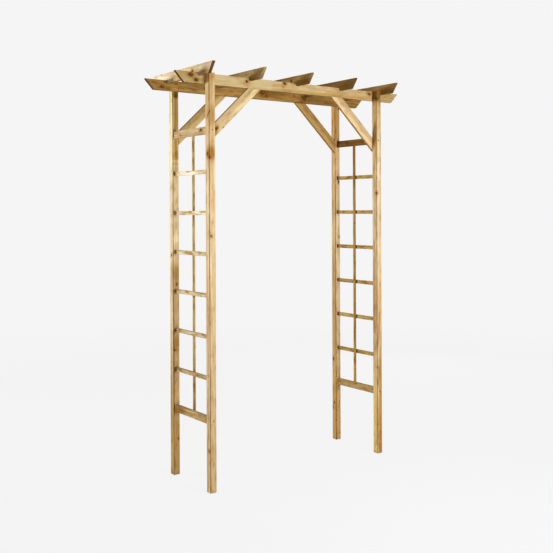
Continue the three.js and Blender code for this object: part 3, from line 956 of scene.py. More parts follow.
@dataclass
class SideFrames:
    """The two ladder-like sides: posts, rails, rungs and battens.

    Attributes:
        groups: The shared wood effects.
        posts: The finish of the posts.
        rails: The finish of the rails.
        laths: The finish of the thin rungs and battens.
    """

    groups: WoodGroups
    posts: PineFinish = field(default_factory=lambda: PineFinish(corner=0.55, edge_width=0.0042))
    rails: PineFinish = field(default_factory=lambda: PineFinish(
        mottles=0.8, knot_step=0.3, knot_radius=0.004,
    ))
    laths: PineFinish = field(default_factory=lambda: PineFinish(
        ring_width=0.004, mottles=1.1, knot_step=0.4, knot_radius=0.003,
    ))

    # The tones of a side's lowest and highest rung.
    RUNG_TONES = {
        "left": (srgb(206, 206, 190), (1.2, 1.35, 1.55, 1.0)),
        "right": (srgb(200, 186, 131), srgb(200, 186, 131)),
    }
    HOUSING_DEPTH = 0.01
    RIGHT_SHADOW_SHIFT = 0.013
    LEFT_BATTEN_FACE = -0.584
    # Each of these is a stain's reach and its tone.
    # Painted shade where a rung enters the far post's housing.
    HOUSING_PAINTED_SHADE = ((0.02, 0.02, 0.032), srgb(110, 80, 38))
    # Painted highlight where the left batten crosses a rung.
    LEFT_PAINTED_HIGHLIGHT = ((0.02, 0.02, 0.05), (1.2, 1.2, 1.25, 1.0))
    # Painted shadow of the right batten, beside it on a right rung.
    RIGHT_PAINTED_SHADOW = ((0.03, 0.03, 0.01), srgb(140, 112, 66))
    # Painted highlight where the left batten crosses a rung.
    BATTEN_PAINTED_HIGHLIGHT = ((0.03, 0.02, 0.016), (1.35, 1.38, 1.5, 1.0))

    def dress(self) -> None:
        """Dresses every board of both sides."""
        for board in (*self.left_posts(), *self.right_posts()):
            dress(board.node, self.posts.material(board, self.groups))
        for board in self.cross_rails():
            dress(board.node, self.rails.material(board, self.groups))
        for board in (*self.rungs(), *self.battens()):
            dress(board.node, self.laths.material(board, self.groups))

    @staticmethod
    def left_posts() -> tuple[Board, ...]:
        """Describes the two left posts.

        Returns:
            The near post and the far post.
        """
        near = Board(
            "post_near_left", Grain.UPRIGHT, tone=srgb(254, 254, 254),
            top_tone=srgb(250, 240, 217), foot_tone=srgb(217, 204, 182),
            painted_light_side=(-1, 0, 0), painted_light_tone=(1.1, 1.13, 1.18, 1.0),
            chance_knots=0.5,
            knots=(
                Knot((-0.614, -0.196, 1.775), (1, 0.3, 0), 0.006),
                Knot((-0.611, -0.2115, 1.757), (0.4, 1, 0), 0.004),
                Knot((-0.614, -0.197, 1.976), (0.12, -0.6, 0.8), 0.0022),
                Knot((-0.614, -0.1989, 0.22), (1, 0.1, 0), 0.005),
            ),
            stains_and_light=(
                StainAndPaintedLight((-0.600, -0.205, 1.778), (0.034, 0.03, 0.055), srgb(206, 176, 126)),
                StainAndPaintedLight((-0.596, -0.21, 1.738), (0.018, 0.012, 0.01), (1.12, 1.14, 1.2, 1.0)),
                StainAndPaintedLight((-0.592, -0.205, 1.975), (0.034, 0.03, 0.075), srgb(222, 207, 186)),
                # The next three are painted shade: the top, under the roof, and the lower half are
                # darker.
                StainAndPaintedLight((-0.595, -0.1925, 2.19), (0.04, 0.04, 0.05), srgb(222, 198, 156)),
                StainAndPaintedLight((-0.614, -0.19, 2.05), (0.02, 0.03, 0.09), (0.86, 0.83, 0.78, 1.0)),
                StainAndPaintedLight((-0.595, -0.1925, 0.93), (0.06, 0.06, 0.36), (0.83, 0.78, 0.7, 1.0)),
            ),
        )
        far = Board(
            "post_far_left", Grain.UPRIGHT, tone=srgb(243, 243, 238),
            top_tone=(1.16, 1.18, 1.05, 1.0), foot_tone=srgb(202, 180, 136),
            chance_knots=0.5,
            knots=(
                Knot((-0.5915, 0.1735, 2.124), (0.1, 1, 0), 0.006),
                Knot((-0.592, 0.1735, 1.066), (0.2, 1, 0), 0.005),
                Knot((-0.606, 0.1735, 0.700), (0.1, 1, 0), 0.004),
            ),
            stains_and_light=(
                # Painted shade: the front face darker at the top, under the beam.
                StainAndPaintedLight((-0.592, 0.1735, 1.95), (0.02, 0.012, 0.34), srgb(208, 186, 140)),
                # Painted light: the left face paler at the top.
                StainAndPaintedLight((-0.614, 0.19, 1.9), (0.012, 0.03, 0.3), (1.3, 1.35, 1.5, 1.0)),
                StainAndPaintedLight((-0.592, 0.1735, 1.79), (0.03, 0.02, 0.03), srgb(228, 210, 172)),
                StainAndPaintedLight((-0.592, 0.1735, 1.755), (0.03, 0.02, 0.011), (1.3, 1.32, 1.4, 1.0)),
                StainAndPaintedLight((-0.592, 0.1735, 1.728), (0.03, 0.02, 0.008), (1.2, 1.22, 1.3, 1.0)),
                StainAndPaintedLight((-0.592, 0.1735, 1.13), (0.03, 0.02, 0.06), srgb(220, 198, 152)),
                StainAndPaintedLight((-0.592, 0.1735, 0.735), (0.03, 0.02, 0.06), srgb(224, 204, 162)),
                StainAndPaintedLight((-0.590, 0.1735, 0.712), (0.02, 0.02, 0.008), (1.3, 1.32, 1.4, 1.0)),
                StainAndPaintedLight((-0.592, 0.1735, 1.317), (0.03, 0.02, 0.035), (1.25, 1.25, 1.3, 1.0)),
                StainAndPaintedLight((-0.592, 0.1735, 0.437), (0.03, 0.02, 0.035), (1.25, 1.25, 1.3, 1.0)),
                StainAndPaintedLight((-0.592, 0.1735, 2.13), (0.03, 0.02, 0.03), srgb(190, 166, 124)),
                # Painted shade along the front-left corner.
                StainAndPaintedLight((-0.6125, 0.1735, 1.95), (0.003, 0.003, 0.45), srgb(176, 144, 96)),
                # Painted shade: the front face darker low down.
                StainAndPaintedLight((-0.590, 0.1735, 0.88), (0.022, 0.012, 0.42), (0.74, 0.65, 0.53, 1.0)),
                # The next three are painted light on the left face, painted shade along the corner, and
                # painted light at the foot.
                StainAndPaintedLight((-0.614, 0.195, 1.33), (0.012, 0.03, 0.36), (1.12, 1.16, 1.26, 1.0)),
                StainAndPaintedLight((-0.611, 0.1735, 0.72), (0.005, 0.005, 0.34), (0.5, 0.42, 0.3, 1.0)),
                StainAndPaintedLight((-0.614, 0.19, 0.12), (0.014, 0.03, 0.18), (1.15, 1.28, 1.5, 1.0)),
            ),
        )
        return near, far

    @staticmethod
    def right_posts() -> tuple[Board, ...]:
        """Describes the two right posts, whose left sides get painted shade.

        Returns:
            The near post and the far post.
        """
        near = Board(
            "post_near_right", Grain.UPRIGHT, tone=srgb(235, 236, 240),
            top_tone=srgb(246, 230, 196), foot_tone=srgb(215, 195, 146),
            painted_light_side=(-1, 0, 0), painted_light_tone=srgb(254, 251, 237), chance_knots=0.5,
            knots=(Knot((0.5795, -0.2115, 2.152), (0.3, 1, 0), 0.006),),
            stains_and_light=(
                # Partly painted shade and partly the wood's own brown: the darker top of the post.
                StainAndPaintedLight((0.595, -0.1925, 2.185), (0.05, 0.05, 0.08), srgb(168, 142, 96)),
                # Painted shade on the left face, by the brace's foot.
                StainAndPaintedLight((0.574, -0.185, 1.90), (0.014, 0.034, 0.06), srgb(196, 176, 136)),
                # The next six are painted light where they are paler and painted shade where they are
                # darker.
                StainAndPaintedLight((0.572, -0.19, 1.95), (0.02, 0.05, 0.4), srgb(236, 234, 226)),
                StainAndPaintedLight((0.572, -0.19, 0.25), (0.02, 0.05, 0.6), (1.42, 1.65, 2.2, 1.0)),
                StainAndPaintedLight((0.576, -0.19, 1.8), (0.012, 0.03, 0.28), (1.2, 1.35, 1.6, 1.0)),
                StainAndPaintedLight((0.576, -0.19, 0.78), (0.012, 0.03, 0.48), (0.74, 0.66, 0.57, 1.0)),
                StainAndPaintedLight((0.598, -0.2115, 1.85), (0.02, 0.012, 0.28), (1.13, 1.22, 1.38, 1.0)),
                StainAndPaintedLight((0.598, -0.2115, 0.87), (0.02, 0.012, 0.42), (0.87, 0.79, 0.64, 1.0)),
            ),
        )
        far = Board(
            "post_far_right", Grain.UPRIGHT, tone=srgb(254, 254, 254),
            top_tone=srgb(240, 213, 168), foot_tone=srgb(226, 204, 162),
            painted_light_side=(-1, 0, 0), painted_light_tone=srgb(233, 226, 210), chance_knots=0.5,
            knots=(
                Knot((0.576, 0.2, 0.517), (1, 0, 0), 0.006),
                Knot((0.576, 0.205, 0.207), (1, 0.1, 0), 0.005),
                Knot((0.609, 0.1735, 2.135), (0.2, 1, 0), 0.006),
                Knot((0.606, 0.1735, 1.66), (0.2, 1, 0), 0.006),
            ),
            stains_and_light=(
                # Painted shade low on the left face and painted light high on it.
                StainAndPaintedLight((0.576, 0.192, 0.92), (0.012, 0.03, 0.42), (0.75, 0.67, 0.57, 1.0)),
                StainAndPaintedLight((0.576, 0.192, 1.87), (0.012, 0.03, 0.2), (1.2, 1.25, 1.4, 1.0)),
            ),
        )
        return near, far

    @staticmethod
    def cross_rails() -> tuple[Board, ...]:
        """Describes the four rails.

        Returns:
            The two top rails and the two bottom rails.
        """
        return (
            Board(
                "rail_top_left", Grain.THROUGH, tone=srgb(232, 231, 224), streaks=0.5,
                knots=(Knot((-0.608, -0.119, 1.906), (1, 0, 0), 0.007),),
            ),
            Board(
                "rail_top_right", Grain.THROUGH, tone=srgb(130, 106, 60), streaks=0.7,
                chance_knots=2.0,
            ),
            Board(
                "rail_bottom_left", Grain.THROUGH, tone=srgb(196, 186, 156), streaks=0.6,
                stains_and_light=(
                    # Painted shade at the rail's far end, by the far post.
                    StainAndPaintedLight((-0.608, 0.13, 0.375), (0.03, 0.03, 0.09), srgb(206, 184, 146)),
                    StainAndPaintedLight((-0.608, -0.05, 0.375), (0.03, 0.03, 0.05), (1.16, 1.16, 1.22, 1.0)),
                ),
            ),
            Board("rail_bottom_right", Grain.THROUGH, tone=srgb(188, 173, 138), streaks=0.5),
        )

    def rungs(self) -> list[Board]:
        """Describes the rungs, with painted shade where they enter the far posts and painted light by
        the battens.

        Returns:
            The boards of all rungs.
        """
        boards = []
        for side, (lowest, highest) in self.RUNG_TONES.items():
            for number, node in enumerate(rung_names(side)):
                share = number / (RUNG_COUNT - 1)
                boards.append(Board(
                    node, Grain.THROUGH, heartwood=0.15, checks=0.1, chance_knots=0.0,
                    tone=tuple(low + (high - low) * share for low, high in zip(lowest, highest)),
                    stains_and_light=(self.housing_painted_shade(node), self.crossing_painted_light(node, side)),
                ))
        return boards

    def housing_painted_shade(self, node: str) -> StainAndPaintedLight:
        """Paints shade on a rung where it enters the far post's housing."""
        middle = middle_of(node)
        return StainAndPaintedLight((middle.x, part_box(node)[1].y - self.HOUSING_DEPTH, middle.z), *self.HOUSING_PAINTED_SHADE)

    def crossing_painted_light(self, node: str, side: str) -> StainAndPaintedLight:
        """Paints a highlight on a left rung by its batten, and the batten's shadow beside it on a right
        rung.

        Args:
            node: The rung's name.
            side: The side that the rung is on, left or right.

        Returns:
            The stain.
        """
        middle = middle_of(node)
        if side == "left":
            return StainAndPaintedLight(tuple(middle), *self.LEFT_PAINTED_HIGHLIGHT)
        return StainAndPaintedLight((middle.x, middle.y - self.RIGHT_SHADOW_SHIFT, middle.z), *self.RIGHT_PAINTED_SHADOW)

    def battens(self) -> tuple[Board, ...]:
        """Describes the battens, the left one with painted highlights where it crosses the rungs.

        Returns:
            The left batten and the right batten.
        """
        crossings = [middle_of(node) for node in rung_names("left")]
        left = Board(
            "batten_left", Grain.UPRIGHT, tone=srgb(214, 208, 168), streaks=0.5, checks=0.1,
            foot_tone=srgb(180, 152, 110),
            stains_and_light=tuple(
                StainAndPaintedLight((self.LEFT_BATTEN_FACE, middle.y, middle.z), *self.BATTEN_PAINTED_HIGHLIGHT)
                for middle in crossings
            ),
        )
        right = Board(
            "batten_right", Grain.UPRIGHT, tone=srgb(186, 166, 107), streaks=0.5, checks=0.1,
            top_tone=srgb(206, 184, 140),
        )
        return left, right


@dataclass
class Roof:
    """The two beams and the rafters over them.

    Attributes:
        groups: The shared wood effects.
        boards: The finish of the boards.
    """

    groups: WoodGroups
    boards: PineFinish = field(default_factory=lambda: PineFinish(
        ring_width=0.006, figure=0.7, belts=0.55, knot_step=0.45, knot_radius=0.007,
    ))

    # Each rafter's tone, and the tone of its sawn ends.
    RAFTER_TONES = {
        1: (srgb(255, 254, 246), srgb(88, 68, 30)),
        2: (srgb(229, 227, 194), srgb(163, 163, 161)),
        3: (srgb(212, 194, 140), srgb(161, 143, 129)),
        4: (srgb(184, 157, 108), srgb(158, 144, 128)),
        5: (srgb(200, 180, 134), srgb(155, 144, 131)),
    }
    # Painted shade low down on each face, painted light high up and on rafter 1's far half.
    # Each stain's place along Y, its height, its reach across and along the grain, and its tone.
    RAFTER_STAINS = {
        1: (
            (0.19, 2.213, 0.035, 0.16, (1.32, 1.4, 1.7, 1.0)),
            (-0.06, 2.20, 0.02, 0.1, srgb(222, 208, 166)),
            (-0.25, 2.192, 0.02, 0.06, (0.74, 0.66, 0.5, 1.0)),
            (-0.25, 2.235, 0.014, 0.08, (1.05, 1.15, 1.4, 1.0)),
            (0.06, 2.195, 0.02, 0.08, (0.84, 0.72, 0.54, 1.0)),
        ),
        2: (
            (-0.205, 2.193, 0.03, 0.07, (0.7, 0.62, 0.5, 1.0)),
            (-0.305, 2.23, 0.03, 0.04, (1.45, 1.4, 1.45, 1.0)),
        ),
        3: (
            (-0.24, 2.19, 0.028, 0.11, (0.6, 0.54, 0.42, 1.0)),
            (-0.255, 2.239, 0.014, 0.08, (1.45, 1.55, 2.0, 1.0)),
        ),
        4: (
            (-0.215, 2.192, 0.03, 0.09, (0.74, 0.74, 0.6, 1.0)),
        ),
        5: (
            (-0.24, 2.19, 0.028, 0.12, (0.58, 0.48, 0.32, 1.0)),
            (-0.23, 2.239, 0.014, 0.05, (1.1, 1.2, 1.3, 1.0)),
        ),
    }

    def dress(self) -> None:
        """Dresses the beams and the rafters."""
        for board in (self.near_beam(), self.far_beam(), *self.rafters()):
            dress(board.node, self.boards.material(board, self.groups))

    @staticmethod
    def near_beam() -> Board:
        """Describes the near beam, pale in the middle and darker at both overhangs.

        Returns:
            The board.
        """
        return Board(
            "beam_near", Grain.ACROSS, tone=srgb(227, 224, 205), figure=0.45, streaks=0.2,
            narrow_side=(1, 0, 0), end_tone=srgb(104, 76, 38), chance_knots=0.0,
            knots=knots_through(-0.1732, (
                (-0.3466, 2.180, 0.006),
                (-0.0889, 2.191, 0.0065),
                (-0.1017, 2.172, 0.003),
                (-0.7004, 2.1855, 0.009),
                (-0.6668, 2.161, 0.0075),
                (0.555, 2.182, 0.006),
            )),
            stains_and_light=stains_and_light_through(-0.165, (
                (-0.715, 2.17, 0.06, 0.13, srgb(240, 240, 230)),
                (0.715, 2.17, 0.06, 0.13, srgb(230, 222, 198)),
                (0.25, 2.152, 0.012, 0.5, srgb(240, 222, 184)),
                (0.45, 2.17, 0.06, 0.25, srgb(247, 239, 231)),
                (-0.02, 2.175, 0.04, 0.3, (0.93, 0.9, 0.86, 1.0)),
                (-0.02, 2.195, 0.01, 0.035, (0.6, 0.52, 0.42, 1.0)),
                (0.545, 2.19, 0.014, 0.03, (0.75, 0.7, 0.55, 1.0)),
            )),
        )

    @staticmethod
    def far_beam() -> Board:
        """Describes the far beam, which is heartwood with swirls round its knots.

        Returns:
            The board.
        """
        return Board(
            "beam_far", Grain.ACROSS, tone=srgb(190, 170, 120), streaks=0.6, narrow_side=(1, 0, 0),
            end_tone=srgb(130, 98, 54),
            knots=knots_through(0.1532, (
                (-0.012, 2.182, 0.009),
                (0.018, 2.166, 0.006),
                (0.3065, 2.176, 0.013),
            )),
            stains_and_light=stains_and_light_through(0.16, (
                (0.11, 2.19, 0.02, 0.14, srgb(214, 214, 190)),
                (0.0, 2.175, 0.03, 0.06, srgb(242, 232, 208)),
                (0.3065, 2.165, 0.03, 0.04, (1.35, 1.45, 1.5, 1.0)),
                (-0.47, 2.15, 0.016, 0.26, (1.4, 1.5, 1.8, 1.0)),
                # Painted shade: a dark spot where rafter 1 crosses the beam.
                (-0.66, 2.19, 0.012, 0.03, (0.5, 0.42, 0.3, 1.0)),
                (-0.68, 2.17, 0.06, 0.16, (1.2, 1.2, 1.2, 1.0)),
            )),
        )

    def rafters(self) -> list[Board]:
        """Describes the rafters.

        Returns:
            The boards of the rafters.
        """
        return [
            Board(
                f"rafter_{number}", Grain.THROUGH, tone=tone, narrow_side=(0, 1, 0),
                end_tone=end_tone, stains_and_light=self.rafter_stains(number),
            )
            for number, (tone, end_tone) in self.RAFTER_TONES.items()
        ]

    def rafter_stains(self, number: int) -> tuple[StainAndPaintedLight, ...]:
        """Places the painted light and shade of one rafter on its left face.

        Args:
            number: The rafter's number, from the left.

        Returns:
            The painted light and shade.
        """
        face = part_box(f"rafter_{number}")[0].x
        return tuple(
            StainAndPaintedLight((face, place, height), (THROUGH_REACH, across, along), tone)
            for place, height, across, along, tone in self.RAFTER_STAINS[number]
        )


@dataclass
class CornerBraces:
    """The four diagonal braces.

    Attributes:
        groups: The shared wood effects.
        boards: The finish of the boards.
        width: The width of a brace in metres.
        thickness: The thickness of a brace in metres.
    """

    groups: WoodGroups
    boards: PineFinish = field(default_factory=lambda: PineFinish(
        ring_width=0.007, belts=0.5, knot_step=0.3, knot_radius=0.004,
    ))
    width: float = 0.056
    thickness: float = 0.018

    KNOTS = {"brace_near_left": knots_through(-0.1732, ((-0.543, 1.914, 0.007),))}
    STAINS = {
        "brace_near_left": stains_and_light_through(-0.1732, (
            (-0.562, 1.895, 0.04, 0.03, srgb(206, 178, 128)),
        )),
    }
    TONES = {
        "brace_near_left": (0.93, 0.89, 0.76, 1.0),
        "brace_near_right": srgb(239, 229, 213),
        "brace_far_left": srgb(218, 206, 172),
        "brace_far_right": srgb(212, 192, 146),
    }

    def dress(self) -> None:
        """Dresses the braces, whose grain runs along their slope."""
        for node, tone in self.TONES.items():
            slope = Grain.LEFT_BRACE if node.endswith("left") else Grain.RIGHT_BRACE
            board = Board(
                node, slope, tone=tone, figure=0.3, streaks=0.1, heartwood=0.1, narrow_side=(1, 0, 0),
                section=(self.width, self.thickness), knots=self.KNOTS.get(node, ()),
                stains_and_light=self.STAINS.get(node, ()),
            )
            dress(node, self.boards.material(board, self.groups))


@dataclass
class FrameScrews:
    """The wood screws whose solids come with the frame.

    Attributes:
        finish: The finish of the screws.
    """

    finish: ZincFinish = field(default_factory=ZincFinish)

    def dress(self) -> None:
        """Dresses every screw alike."""
        material = self.finish.material("zinc_screws")
        for name in sorted(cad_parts):
            if "_screw_" in name:
                dress(name, material)


def clear_selection() -> None:
    """Leaves object mode with nothing selected and nothing active."""
    if bpy.context.object and bpy.context.object.mode != "OBJECT":
        bpy.ops.object.mode_set(mode="OBJECT")
    bpy.ops.object.select_all(action="DESELECT")
    bpy.context.view_layer.objects.active = None


def looks_up(face: bmesh.types.BMFace) -> bool:
    """Says whether a face looks up."""
    return face.normal.z > 0.9


def looks_down(face: bmesh.types.BMFace) -> bool:
    """Says whether a face looks down."""
    return face.normal.z < -0.9


def select_faces(piece: bpy.types.Object, wanted: Callable[[bmesh.types.BMFace], bool]) -> None:
    """Selects the faces of a mesh in edit mode by a test of each.

    Args:
        piece: The object in edit mode.
        wanted: A function that takes a face and says whether it is selected.
    """
    mesh = bmesh.from_edit_mesh(piece.data)
    for face in mesh.faces:
        face.select_set(wanted(face))
    mesh.select_flush_mode()
    bmesh.update_edit_mesh(piece.data)


def start_disc(name: str, sides: int, radius: float, bottom: float, top: float) -> bpy.types.Object:
    """Adds an upright disc on the Z axis and starts to edit its faces.

    Args:
        name: The object's name.
        sides: How many sides the disc has.
        radius: Its radius in metres.
        bottom: The height of its lower face in metres.
        top: The height of its upper face in metres.

    Returns:
        The object, in edit mode.
    """
    clear_selection()
    middle = (bottom + top) / 2
    bpy.ops.mesh.primitive_cylinder_add(
        vertices=sides, radius=radius, depth=top - bottom, location=(0, 0, middle),
    )
    piece = bpy.context.object
    piece.name = name
    bpy.ops.object.mode_set(mode="EDIT")
    bpy.ops.mesh.select_mode(type="FACE")
    return piece


def inset_faces(radius: float, height: float, steps: tuple[tuple[float, float], ...]) -> None:
    """Insets the selected faces step by step.

    Args:
        radius: The length that the steps' widths are shares of, in metres.
        height: The length that the steps' rises are shares of, in metres.
        steps: The width and the rise of each step, as shares.
    """
    for width, rise in steps:
        bpy.ops.mesh.inset(thickness=radius * width, depth=height * rise)


def pull_down(length: float) -> None:
    """Extrudes the selected faces downwards by a length in metres."""
    bpy.ops.mesh.extrude_region_move(TRANSFORM_OT_translate={"value": (0, 0, -length)})


def end_edit(piece: bpy.types.Object) -> None:
    """Ends the editing: shades the piece and moves its place and turn into its mesh.

    Args:
        piece: The object in edit mode, which is left in object mode at the origin.
    """
    bpy.ops.object.mode_set(mode="OBJECT")
    bpy.ops.object.shade_smooth_by_angle(angle=SMOOTH_ANGLE)
    piece.data.transform(piece.matrix_basis)
    piece.matrix_basis = Matrix.Identity(4)
    if piece.data.validate():
        LOG.warning("%s had to be repaired", piece.name)


def copy_of(
    pattern: bpy.types.Object, name: str, place: Vector, turn: Euler | None = None,
) -> bpy.types.Object:
    """Copies a modelled piece, with its own mesh, to its place.

    Args:
        pattern: The piece that is copied.
        name: The copy's name.
        place: Where the copy's origin goes.
        turn: How the copy is turned.

    Returns:
        The copy, whose place is in its mesh.
    """
    piece = pattern.copy()
    piece.data = pattern.data.copy()
    piece.name = name
    piece.data.name = name
    bpy.context.scene.collection.objects.link(piece)
    turned = (turn or Euler()).to_matrix().to_4x4()
    piece.data.transform(Matrix.Translation(place) @ turned)
    piece.data.update()
    return piece


def finish_piece(piece: bpy.types.Object, material: bpy.types.Material) -> None:
    """Dresses a new fastener and fixes it to the arch.

    Args:
        piece: The fastener.
        material: Its material.
    """
    piece.data.materials.clear()
    piece.data.materials.append(material)
    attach(piece, BODY)
    LOG.info("built %s", piece.name)


@dataclass
class RafterScrews:
    """The screws down through the rafters' top edges into the beams.

    Attributes:
        finish: The finish of the heads.
        head_radius: The radius of a head in metres.
        head_height: How deep a head goes into the wood.
        proud: How far its dome stands above the wood.
        sides: How many sides a head has.
    """

    finish: ZincFinish = field(default_factory=lambda: ZincFinish(rust=0.45))
    head_radius: float = 0.004
    head_height: float = 0.0022
    proud: float = 0.0006
    sides: int = 24

    # The shank's width as a share of the head's, and its length as so many head heights.
    SHANK_SHARE = 0.5
    SHANK_HEIGHTS = 3
    # Each inset as a share of the radius, with its rise as a share of what stands proud.
    DOME_AND_DRIVE = ((0.35, 1.0), (0.3, 0.25), (0.04, -1.6))

    def pattern(self) -> bpy.types.Object:
        """Models one screw head, centred on the origin with its rim in the XY plane.

        Returns:
            The object of the head.
        """
        piece = start_disc("rafter_screw_pattern", self.sides, self.head_radius, -self.head_height, 0)
        select_faces(piece, looks_down)
        bpy.ops.transform.resize(value=(self.SHANK_SHARE, self.SHANK_SHARE, 1))
        pull_down(self.SHANK_HEIGHTS * self.head_height)
        select_faces(piece, looks_up)
        inset_faces(self.head_radius, self.proud, self.DOME_AND_DRIVE)
        end_edit(piece)
        return piece

    def build(self) -> None:
        """Copies the head to every crossing of a rafter and a beam."""
        pattern = self.pattern()
        material = self.finish.material("zinc_rafter_screws")
        for rafter in range(1, RAFTER_COUNT + 1):
            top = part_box(f"rafter_{rafter}")[1].z
            across = middle_of(f"rafter_{rafter}").x
            for end in ("near", "far"):
                place = Vector((across, middle_of(f"beam_{end}").y, top))
                head = copy_of(pattern, f"rafter_screw_{rafter}_{end}", place)
                finish_piece(head, material)
        bpy.data.objects.remove(pattern)


@dataclass
class LathPins:
    """The small pins that hold the battens to the rungs and rails.

    Attributes:
        finish: The finish of the heads.
        radius: The radius of a head in metres.
        height: How far a head stands out of the wood.
        shank: How long the shank is, in metres.
        sides: How many sides a head has.
    """

    finish: ZincFinish = field(default_factory=lambda: ZincFinish(rust=0.6))
    radius: float = 0.0018
    height: float = 0.0006
    shank: float = 0.012
    sides: int = 16

    # Each inset as a share of the radius, with its rise as a share of the head's height.
    DOME = ((0.3, 0.4), (0.3, 0.15))
    SHANK_RIM = ((0.5, 0.0),)

    def pattern(self) -> bpy.types.Object:
        """Models one pin with its shank along -Z and its head's dome on the XY plane.

        Returns:
            The object of the pin.
        """
        piece = start_disc("lath_pin_pattern", self.sides, self.radius, 0, self.height)
        select_faces(piece, looks_up)
        inset_faces(self.radius, self.height, self.DOME)
        select_faces(piece, looks_down)
        inset_faces(self.radius, self.height, self.SHANK_RIM)
        pull_down(self.shank)
        end_edit(piece)
        return piece

    def build(self) -> None:
        """Copies the pin to every crossing of a batten with a rung or a rail."""
        pattern = self.pattern()
        material = self.finish.material("zinc_pins")
        for side, inward in (("left", 1), ("right", -1)):
            low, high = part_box(f"batten_{side}")
            face = high.x if inward > 0 else low.x
            turn = Euler((0, inward * math.pi / 2, 0))
            for node in (f"rail_bottom_{side}", f"rail_top_{side}", *rung_names(side)):
                other_low, other_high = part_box(node)
                bottom = max(low.z, other_low.z)
                top = min(high.z, other_high.z)
                place = Vector((face, (low.y + high.y) / 2, (bottom + top) / 2))
                finish_piece(copy_of(pattern, f"lath_pin_{node}", place, turn), material)
        bpy.data.objects.remove(pattern)


@dataclass(frozen=True)
class Lamp:
    """One soft lamp that shines at the middle of the arch.

    Attributes:
        name: The lamp's name.
        place: Where it hangs, in metres.
        size: Its width and height in metres.
        power: Its power in watts.
    """

    name: str
    place: Triple
    size: tuple[float, float]
    power: float

    TARGET = Vector((0, 0, 1.3))

    def hang(self) -> None:
        """Adds the lamp to the scene."""
        data = bpy.data.lights.new(self.name, "AREA")
        data.shape = "RECTANGLE"
        data.size, data.size_y = self.size
        data.energy = self.power
        lamp = bpy.data.objects.new(self.name, data)
        bpy.context.scene.collection.objects.link(lamp)
        lamp.location = self.place
        lamp.rotation_euler = (self.TARGET - Vector(self.place)).to_track_quat("-Z", "Y").to_euler()
        lamp.visible_camera = False


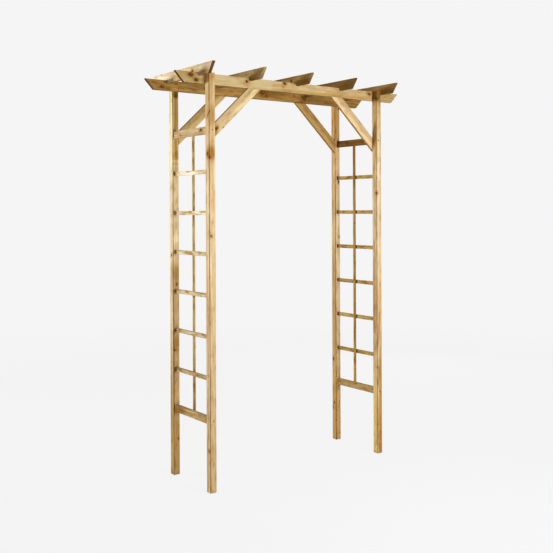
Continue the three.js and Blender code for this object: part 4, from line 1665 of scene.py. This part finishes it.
@dataclass
class Studio:
    """A plain pale floor and background, and soft lamps.

    Attributes:
        pale: The colour of the background as the camera sees it.
        ambient: The even light from all round.
        paint: The floor's own grey, from 0 to 1.
        floor_radius: How far the floor reaches, in metres.
        floor_share: How much of the floor's colour comes from the light that falls on it.
        floor_light: How bright that light is, as a share of the background.
        fade_start: Where the floor starts to fade into the background, as a share of its radius.
        fade_end: Where it is gone, as a share of its radius.
    """

    pale: Colour = srgb(245, 245, 245)
    ambient: Colour = (0.225, 0.22, 0.205, 1.0)
    paint: float = 0.9
    floor_radius: float = 7.0
    floor_share: float = 0.05
    floor_light: float = 1.1
    fade_start: float = 0.35
    fade_end: float = 0.95

    RIM_SIDES = 96
    # The floor's inner ring, as a share of its radius.
    INNER_SHARE = 0.5
    LAMPS = (
        Lamp("left_lamp", (-5.6, 3.3, 1.4), (1.5, 1.6), 325),
        Lamp("front_lamp", (0.3, -2.3, 1.35), (1.4, 1.2), 60),
        Lamp("right_lamp", (3.4, 2.2, 1.8), (1.5, 1.5), 58),
        Lamp("top_lamp", (0.3, 0.4, 4.4), (1.8, 1.8), 25),
    )

    def build(self) -> None:
        """Sets the world, the floor and the lamps."""
        self.world()
        self.floor()
        for lamp in self.LAMPS:
            lamp.hang()

    def world(self) -> None:
        """Shows the pale colour to the camera and lights the object evenly."""
        world = bpy.data.worlds.new("studio")
        bpy.context.scene.world = world
        world.use_nodes = True
        write = NodeWriter(world.node_tree)
        through = write.node("LightPath").outputs["Is Transmission Ray"]
        seen = write.math("MAXIMUM", write.seen_plainly(), through)
        background = world.node_tree.nodes["Background"]
        write.feed(background.inputs, {"Color": write.blend(seen, self.ambient, self.pale)})

    def floor(self) -> None:
        """Lays the floor, whose rim fades into the background."""
        clear_selection()
        bpy.ops.mesh.primitive_circle_add(
            vertices=self.RIM_SIDES, radius=self.floor_radius, fill_type="NGON",
        )
        floor = bpy.context.object
        floor.name = "studio_floor"
        bpy.ops.object.mode_set(mode="EDIT")
        bpy.ops.mesh.inset(thickness=self.floor_radius * self.INNER_SHARE)
        bpy.ops.object.mode_set(mode="OBJECT")
        floor.data.materials.append(self.floor_material())

    def floor_material(self) -> bpy.types.Material:
        """Makes the floor's material, which meets the background's colour.

        Returns:
            The material.
        """
        material = bpy.data.materials.new("studio_floor")
        material.use_nodes = True
        tree = material.node_tree
        tree.nodes.remove(tree.nodes["Principled BSDF"])
        write = NodeWriter(tree)
        lit = write.node("BsdfDiffuse", {"Color": (self.paint, self.paint, self.paint, 1.0)})
        glow = (self.pale[0] - self.floor_share * self.floor_light * self.paint) / (1 - self.floor_share)
        plain = write.node("Emission", {"Color": (glow, glow, glow, 1.0)})
        share = write.times(write.seen_plainly(), 1 - self.floor_share)
        surface = write.node("MixShader", {0: share, 1: lit.outputs[0], 2: plain.outputs[0]})
        away = write.measure("LENGTH", write.node("TexCoord").outputs["Object"])
        fade = write.smooth(away, self.floor_radius * self.fade_start, self.floor_radius * self.fade_end)
        clear = write.node("BsdfTransparent")
        faded = write.node("MixShader", {0: fade, 1: surface.outputs[0], 2: clear.outputs[0]})
        write.feed(tree.nodes["Material Output"].inputs, {"Surface": faded.outputs[0]})
        return material


@dataclass
class Viewpoint:
    """The camera at the photograph's angle.

    Attributes:
        place: Where the camera stands, in metres.
        yaw: How far it looks to the right of straight through the passage, in degrees.
        roll: How far it leans, in degrees.
        focal_pixels: Its focal length in pixels of the photograph.
        level_pixel: The pixel row of the horizon.
        frame_pixels: The side of the photograph in pixels.
        sensor_width: The width of its sensor in millimetres.
        sight: How far it sees, in metres.
    """

    place: Triple = (-2.9063, -3.9091, 1.4739)
    yaw: float = 36.41
    roll: float = -0.255
    focal_pixels: float = 831.46
    level_pixel: float = 211.0
    frame_pixels: float = 553.0
    sensor_width: float = 36.0
    sight: float = 50.0

    def build(self) -> None:
        """Places the camera and makes it the scene's own."""
        data = bpy.data.cameras.new("photo_camera")
        data.sensor_width = self.sensor_width
        data.lens = self.focal_pixels / self.frame_pixels * data.sensor_width
        data.shift_y = (self.level_pixel - self.frame_pixels / 2) / self.frame_pixels
        data.clip_end = self.sight
        camera = bpy.data.objects.new("photo_camera", data)
        bpy.context.scene.collection.objects.link(camera)
        yaw = math.radians(self.yaw)
        roll = math.radians(self.roll)
        forward = Vector((math.sin(yaw), math.cos(yaw), 0))
        level = Vector((math.cos(yaw), -math.sin(yaw), 0))
        right = level * math.cos(roll) + Vector((0, 0, 1)) * math.sin(roll)
        up = right.cross(forward)
        turn = Matrix((right, up, -forward)).transposed().to_4x4()
        camera.matrix_world = Matrix.Translation(self.place) @ turn
        bpy.context.scene.camera = camera


def main() -> None:
    """Builds the studio, dresses the frame and adds the pieces that it leaves out."""
    logging.basicConfig(level=logging.INFO, format="%(name)s: %(message)s")
    bpy.context.scene.view_settings.view_transform = "Standard"
    Viewpoint().build()
    Studio().build()
    groups = WoodGroups()
    SideFrames(groups).dress()
    Roof(groups).dress()
    CornerBraces(groups).dress()
    FrameScrews().dress()
    RafterScrews().build()
    LathPins().build()
    clear_selection()


if __name__ == "__main__":
    main()
